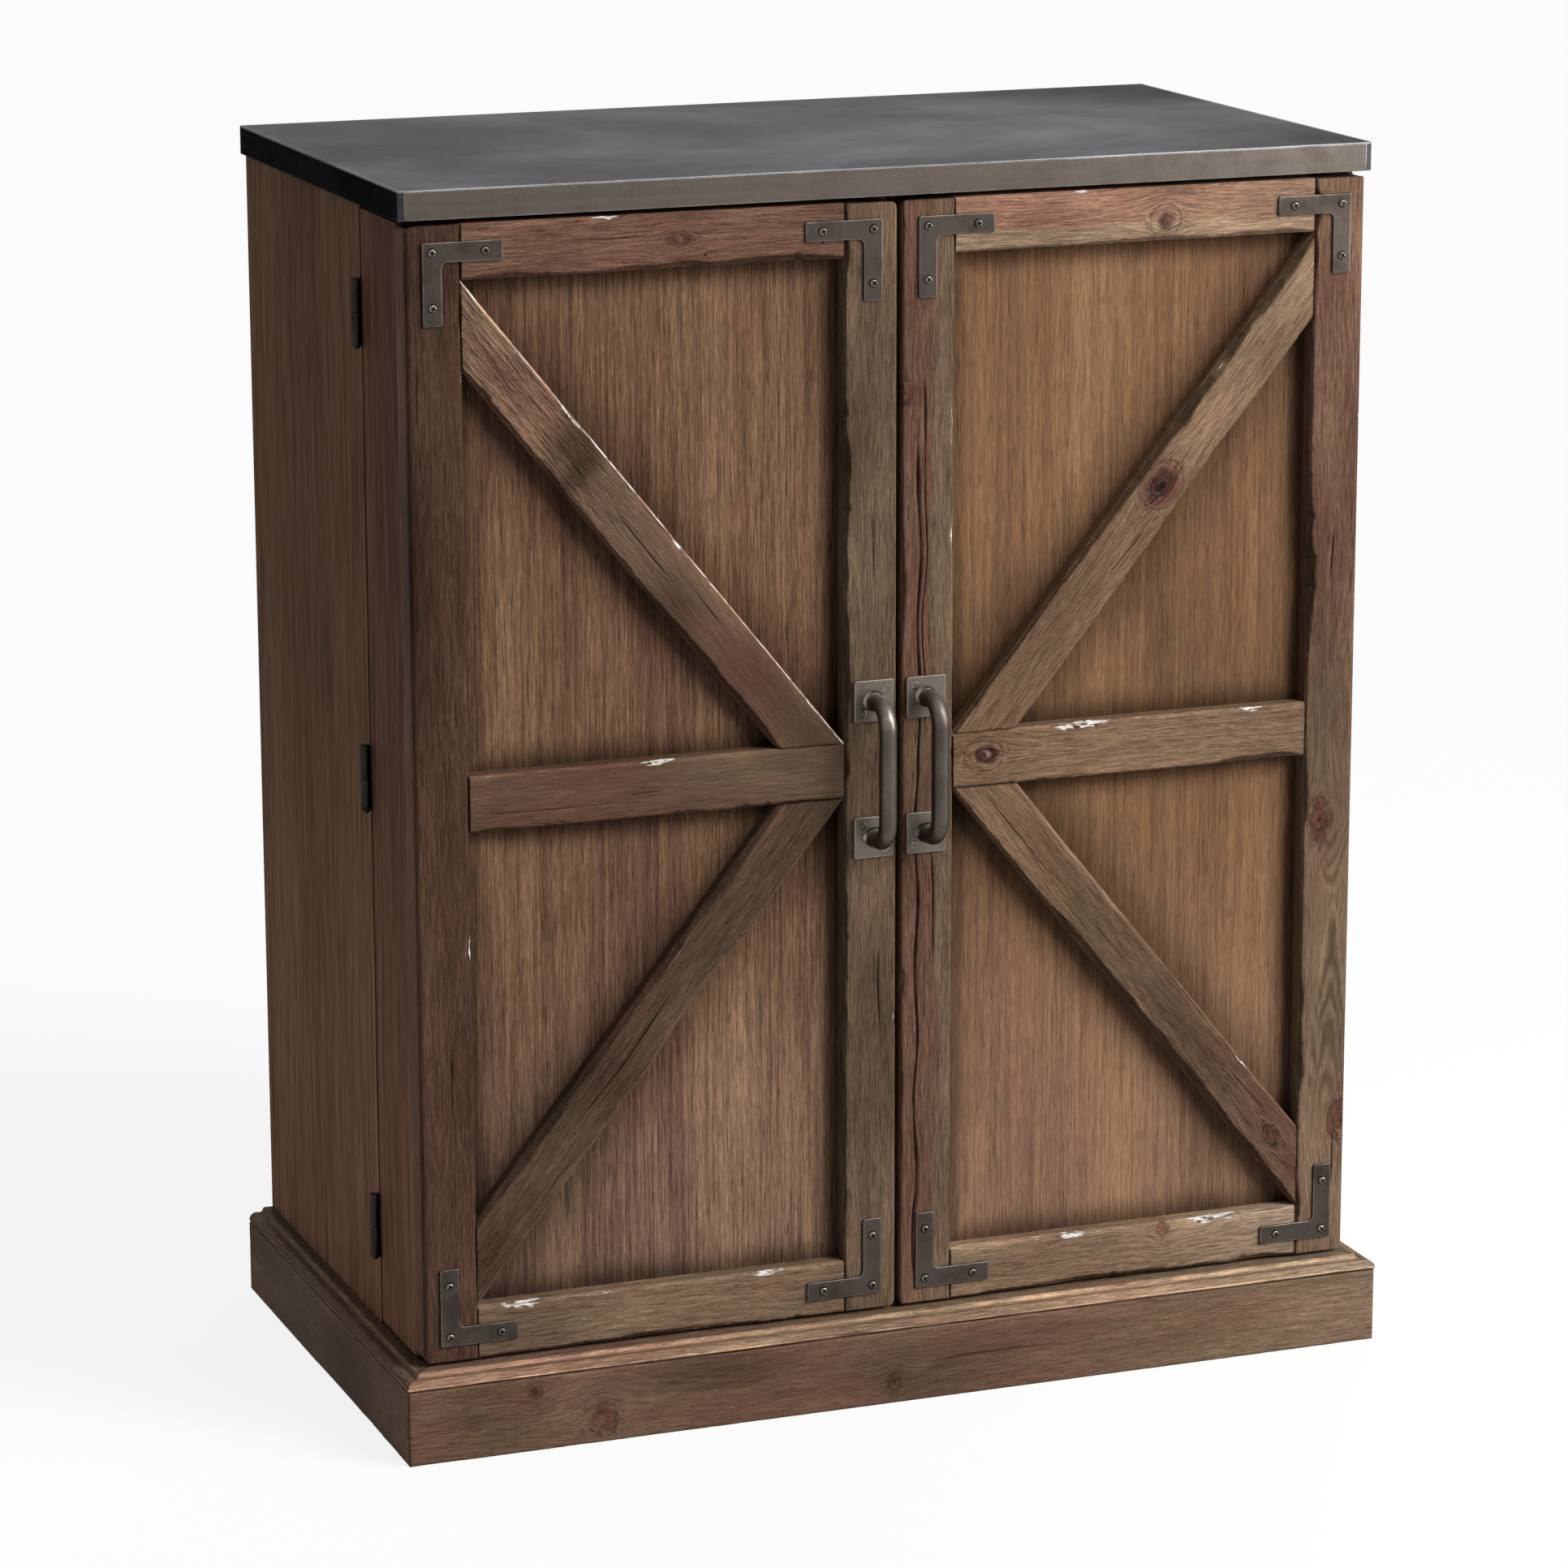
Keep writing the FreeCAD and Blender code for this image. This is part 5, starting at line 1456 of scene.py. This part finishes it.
def screw(shapes, centre, front, radius, height, turn):
    """A screw head with a cross recess, and its shank behind it."""
    angles = np.linspace(0, 2 * math.pi, HEAD_SIDES, endpoint=False)
    circle = np.stack([np.cos(angles), np.sin(angles)], -1)
    shank = centre + circle * (radius * SHANK_SHARE)
    rings = [facing(front)(shank, -depth) for depth in (SHANK_LENGTH, 0.0)]
    wear = [np.full(HEAD_SIDES, -1.0)] * 2
    for share in np.linspace(1.0, 0.03, HEAD_RINGS):
        spot = circle * share
        arm = spot @ np.array(((math.cos(turn), -math.sin(turn)), (math.sin(turn), math.cos(turn))))
        narrow = np.abs(arm).min(axis=1) / RECESS_WIDTH
        far = np.abs(arm).max(axis=1) / RECESS_ARM
        sunk = smooth(2.2 - 2 * narrow) * smooth(5 * (1 - far))
        rise = height * (1 - share ** 5) - min(RECESS_DEPTH, 0.8 * max(height, 1 * MM)) * sunk
        rings.append(facing(front)(centre + spot * radius, rise))
        # Dark in the cross recess, and a painted shadow in a ring round the rim where the head meets the
        # plate.
        wear.append(0.25 - 1.25 * np.maximum(sunk, smooth((share - 0.86) / 0.12)))
    shapes.rings(rings, np.array(wear))


def make_screws(door):
    for kind, (radius, height) in SCREW_HEADS.items():
        node = f"{door}_{kind}_screws"
        shapes = Shapes()
        for number, (first, last) in enumerate(islands(node, SCREWS_APART)):
            centre = (first + last)[[0, 2]] / 2
            front = first[1] + (height if kind == "bracket" else 0.0)
            screw(shapes, centre, front, radius, height, FIRST_TURN + NEXT_TURN * number)
        shapes.make(f"{door}_{kind}_screw_set", SCREW_STEEL, door, "screw_steel", (node,))


def make_handle(door):
    """Two plates and a round bar bent towards them, welded where it meets them."""
    node = f"{door}_handle"
    low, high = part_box(node)
    half = (high.x - low.x) / 2
    middle_x = (low.x + high.x) / 2
    back = high.y
    bar_y = low.y + HANDLE_BAR
    shapes = Shapes()
    ends = (low.z + half, high.z - half)
    middle_z = (ends[0] + ends[1]) / 2
    for end in ends:
        square = [(middle_x - half, end - half), (middle_x + half, end - half),
                  (middle_x + half, end + half), (middle_x - half, end + half)]
        outline = dense_outline(rounded_outline(square, [PLATE_CORNER] * 4, 4), HANDLE_STEP)
        shapes.rings(*plate_rings(outline, PLATE_EASE, HANDLE_PLATE_THICKNESS, facing(back), 0.0, 0.25))
    plate_y = back - HANDLE_PLATE_THICKNESS
    path = [(plate_y - ahead * MM, ends[0], WELD_FLARE * share) for ahead, share in WELD_RINGS]
    for turn in np.linspace(0, math.pi / 2, BEND_RINGS):
        inward = HANDLE_BEND * (1 - math.sin(turn))
        upward = HANDLE_BEND * (1 - math.cos(turn))
        path.append((bar_y + inward, ends[0] + upward, 0.0))
    length = ends[1] - ends[0] - 2 * HANDLE_BEND
    path += [(bar_y, ends[0] + HANDLE_BEND + length * share, 0.0) for share in np.linspace(0.05, 0.5, 10)]
    path += [(y, ends[0] + ends[1] - z, flare) for y, z, flare in path[-2::-1]]
    path = np.array(path)
    ahead = np.gradient(path[:, :2], axis=0)
    ahead /= np.linalg.norm(ahead, axis=1)[:, None]
    angles = np.linspace(0, 2 * math.pi, BAR_SIDES, endpoint=False)
    rings = []
    wear = []
    for (y, z, flare), (way_y, way_z) in zip(path, ahead):
        lumps = ripple(angles * WELD_FLARE, 0.8 * WELD_FLARE, 5 if z < middle_z else 9)
        radius = HANDLE_BAR + flare * (1 + WELD_LUMPS * lumps)
        out = np.sin(angles) * radius
        rings.append(np.column_stack([middle_x + np.cos(angles) * radius, y - out * way_z, z + out * way_y]))
        # Painted highlight where the bar faces up at its bends, painted shade on the rest of it, and painted
        # glints and dark spots on the welds from their lumps.
        upward = np.clip(np.sin(angles) * way_y, 0, 1)
        wear.append(1.6 * lumps - 0.3 if flare else 1.5 * upward - 0.45)
    shapes.rings(rings, np.array(wear))
    shapes.make(f"{door}_pull", HANDLE_METAL, door, "gunmetal", (node,))


# Parts kept from the frame

BOARD_EASE = 0.8 * MM
CASE_GRAIN = {
    "back_panel": "z", "bottom_panel": "x", "carcass_top": "x", "middle_shelf": "x", "stemware_rails": "y",
    "base_deck": "x", "top_core": "x",
}
# Painted light and shade on the door panels, each patch (x, z, half width, half height, factor): darker below
# the right door's middle rail, on both sides of its upper brace and low by the left door's hinge stile, and
# lighter low down by the meeting stiles.
PANEL_PAINTED_LIGHT = {
    "left_door": ((-0.10, 0.22, 0.14, 0.16, 1.15), (-0.36, 0.30, 0.10, 0.22, 0.86)),
    "right_door": ((0.20, 0.52, 0.30, 0.17, 0.80), (0.33, 0.68, 0.11, 0.18, 0.80),
                   (0.11, 0.79, 0.13, 0.14, 0.93), (0.11, 0.22, 0.14, 0.17, 1.08)),
}
# Painted sheen, paler and greyer over the lower part of both panels: (low height, high height, tint).
PANEL_PAINTED_SHEEN = (0.12, 0.55, (1.05, 1.12, 1.28))
PANEL_STREAKS = {"left_door": 0.75, "right_door": 0.3}
PANEL_FINE = {"left_door": 1.4, "right_door": 1.0}
HINGE_EASE = 0.6 * MM
STEEL_EASE = 0.3 * MM
WELD_DISTANCE = 0.001 * MM
DOOR_GRAIN = {"inner_side": "z", "box_top": "x", "box_bottom": "x", "shelves": "x", "guard_rails": "x"}


def dress(node, material, ease):
    """Give a frame part its material and soft edges."""
    part = NODES[node]
    part.data.materials.clear()
    part.data.materials.append(material)
    weld = part.modifiers.new("weld", "WELD")
    weld.merge_threshold = WELD_DISTANCE
    soften = part.modifiers.new("soften", "BEVEL")
    soften.width = ease
    soften.segments = 2
    soften.limit_method = "ANGLE"
    soften.harden_normals = True


def dress_frame():
    for node, axis in CASE_GRAIN.items():
        dress(node, CASE[axis], BOARD_EASE)
    for side in ("left", "right"):
        dress(f"side_panel_{side}", SIDE_VENEER, BOARD_EASE)
    dress("cabinet_hinge_leaves", BLACK_METAL, HINGE_EASE)
    dress("hinge_pins", BLACK_METAL, STEEL_EASE)
    dress("door_magnets", SCREW_STEEL, STEEL_EASE)
    for door in DOORS:
        for name, axis in DOOR_GRAIN.items():
            dress(f"{door}_{name}", CASE[axis], BOARD_EASE)
        dress(f"{door}_outer_side", DOOR_SIDE_VENEER, BOARD_EASE)
        stiles = [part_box(f"{door}_{name}") for name in ("hinge_stile", "meeting_stile")]
        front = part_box(f"{door}_panel")[0].y
        rim_low = (min(stile[1].x for stile in stiles), front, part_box(f"{door}_bottom_rail")[1].z)
        rim_high = (max(stile[0].x for stile in stiles), front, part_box(f"{door}_top_rail")[0].z)
        rail = [corner.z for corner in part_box(f"{door}_middle_rail")]
        braces = [brace_line(f"{door}_{name}_brace") for name in ("upper", "lower")]
        # Painted shade round each panel and along its rail and braces, and painted light and shade in soft
        # patches.
        rim_shade = partial(painted_rim_shade, low=rim_low, high=rim_high, rail=rail, braces=braces)
        shades = (rim_shade, partial(spots, rounds=PANEL_PAINTED_LIGHT[door]))
        shaded_panel_veneer = veneer(f"{door}_panel_veneer", "z", VENEER_LIGHT[door], VENEER_DARK[door], shades=shades,
                        streaky=PANEL_STREAKS[door], fine=PANEL_FINE[door], painted_sheen=PANEL_PAINTED_SHEEN)
        dress(f"{door}_panel", shaded_panel_veneer, BOARD_EASE)
        dress(f"{door}_hinge_leaves", BLACK_METAL, HINGE_EASE)
        dress(f"{door}_strike_plate", SCREW_STEEL, STEEL_EASE)


# Stage, light and camera

FLOOR_HALF = 40.0
FLOOR_COLOUR = (0.99, 0.99, 0.99)
FLOOR_BOUNCE = (0.50, 0.50, 0.50)
FLOOR_ROUGHNESS = 0.9
FLOOR_GLOSS = 0.1
SHADOW_LIFT = 0.85
AMBIENT = 0.17
KEY = {"strength": 2.15, "from": (0.50, -0.60, 0.66), "angle": 24}
SIDE_LAMP = {"power": 42.0, "place": (1.9, -1.6, 1.2), "aim": (0.1, -0.2, 0.55), "size": 1.3}
REAR_FILL = {"strength": 0.9, "from": (0.1, 0.85, 0.45), "angle": 70}
CAMERA_PLACE = (-1.6987, -4.4214, 1.6439)
CAMERA_YAW = 20.80
CAMERA_PITCH = 13.63
CAMERA_ROLL = 0.14
CAMERA_LENS = 126.9
CAMERA_SENSOR = 36.0
CAMERA_REACH = 100.0


def seen(paint):
    """1 where the camera sees the surface itself, in a reflection or through glass, else 0."""
    camera, glossy, through = paint.add(
        "LightPath", output=("Is Camera Ray", "Is Glossy Ray", "Is Transmission Ray"))
    return camera.calc("MAXIMUM", glossy).calc("MAXIMUM", through)


def make_floor():
    mesh = bpy.data.meshes.new("floor")
    corners = [(x * FLOOR_HALF, y * FLOOR_HALF, 0.0) for x, y in ((-1, -1), (1, -1), (1, 1), (-1, 1))]
    mesh.from_pydata(corners, [], [(0, 1, 2, 3)])
    paint = Finish("floor")
    colour = paint.blend(seen(paint), FLOOR_BOUNCE, FLOOR_COLOUR)
    paint.surface({"Base Color": colour, "Roughness": FLOOR_ROUGHNESS, "Specular IOR Level": FLOOR_GLOSS})
    white = paint.add("Emission", {"Color": WHITE, "Strength": 1.0})
    lit = Socket(paint, paint.shader.outputs[0])
    lifted = paint.add("MixShader", {0: seen(paint) * SHADOW_LIFT, 1: lit, 2: white})
    paint.feed(paint.tree.nodes["Material Output"].inputs["Surface"], lifted)
    mesh.materials.append(paint.material)
    linked("floor", mesh)


def make_world():
    """White to the camera and in reflections, and a plain soft level as light."""
    world = bpy.data.worlds.new("studio")
    paint = Paint(world)
    background = paint.tree.nodes["Background"].inputs
    paint.feed(background["Strength"], seen(paint).span(0.0, 1.0, AMBIENT, 1.0))
    paint.feed(background["Color"], WHITE)
    bpy.context.scene.world = world


def aim(item, direction):
    """Turn a lamp so that its light comes from that direction."""
    item.rotation_mode = "QUATERNION"
    item.rotation_quaternion = direction.to_track_quat("Z", "Y")


def make_sun(name, lamp):
    light = bpy.data.lights.new(name, "SUN")
    light.energy = lamp["strength"]
    light.angle = math.radians(lamp["angle"])
    aim(linked(name, light), Vector(lamp["from"]))


def make_area(name, lamp):
    light = bpy.data.lights.new(name, "AREA")
    light.energy = lamp["power"]
    light.size = lamp["size"]
    area = linked(name, light)
    area.location = lamp["place"]
    aim(area, Vector(lamp["place"]) - Vector(lamp["aim"]))


def make_camera():
    lens = bpy.data.cameras.new("camera")
    lens.sensor_width = CAMERA_SENSOR
    lens.lens = CAMERA_LENS
    lens.clip_end = CAMERA_REACH
    camera = linked("camera", lens)
    camera.location = CAMERA_PLACE
    camera.rotation_euler = [math.radians(angle) for angle in (90 - CAMERA_PITCH, CAMERA_ROLL, -CAMERA_YAW)]
    bpy.context.scene.camera = camera


make_stiles()
make_rails()
make_braces()
make_plinth()
make_mouldings()
make_top()
for door_name in DOORS:
    make_brackets(door_name)
    make_screws(door_name)
    make_handle(door_name)
dress_frame()
make_floor()
make_world()
make_sun("key", KEY)
make_sun("rear_fill", REAR_FILL)
make_area("side_lamp", SIDE_LAMP)
make_camera()
bpy.context.scene.view_settings.view_transform = "Standard"
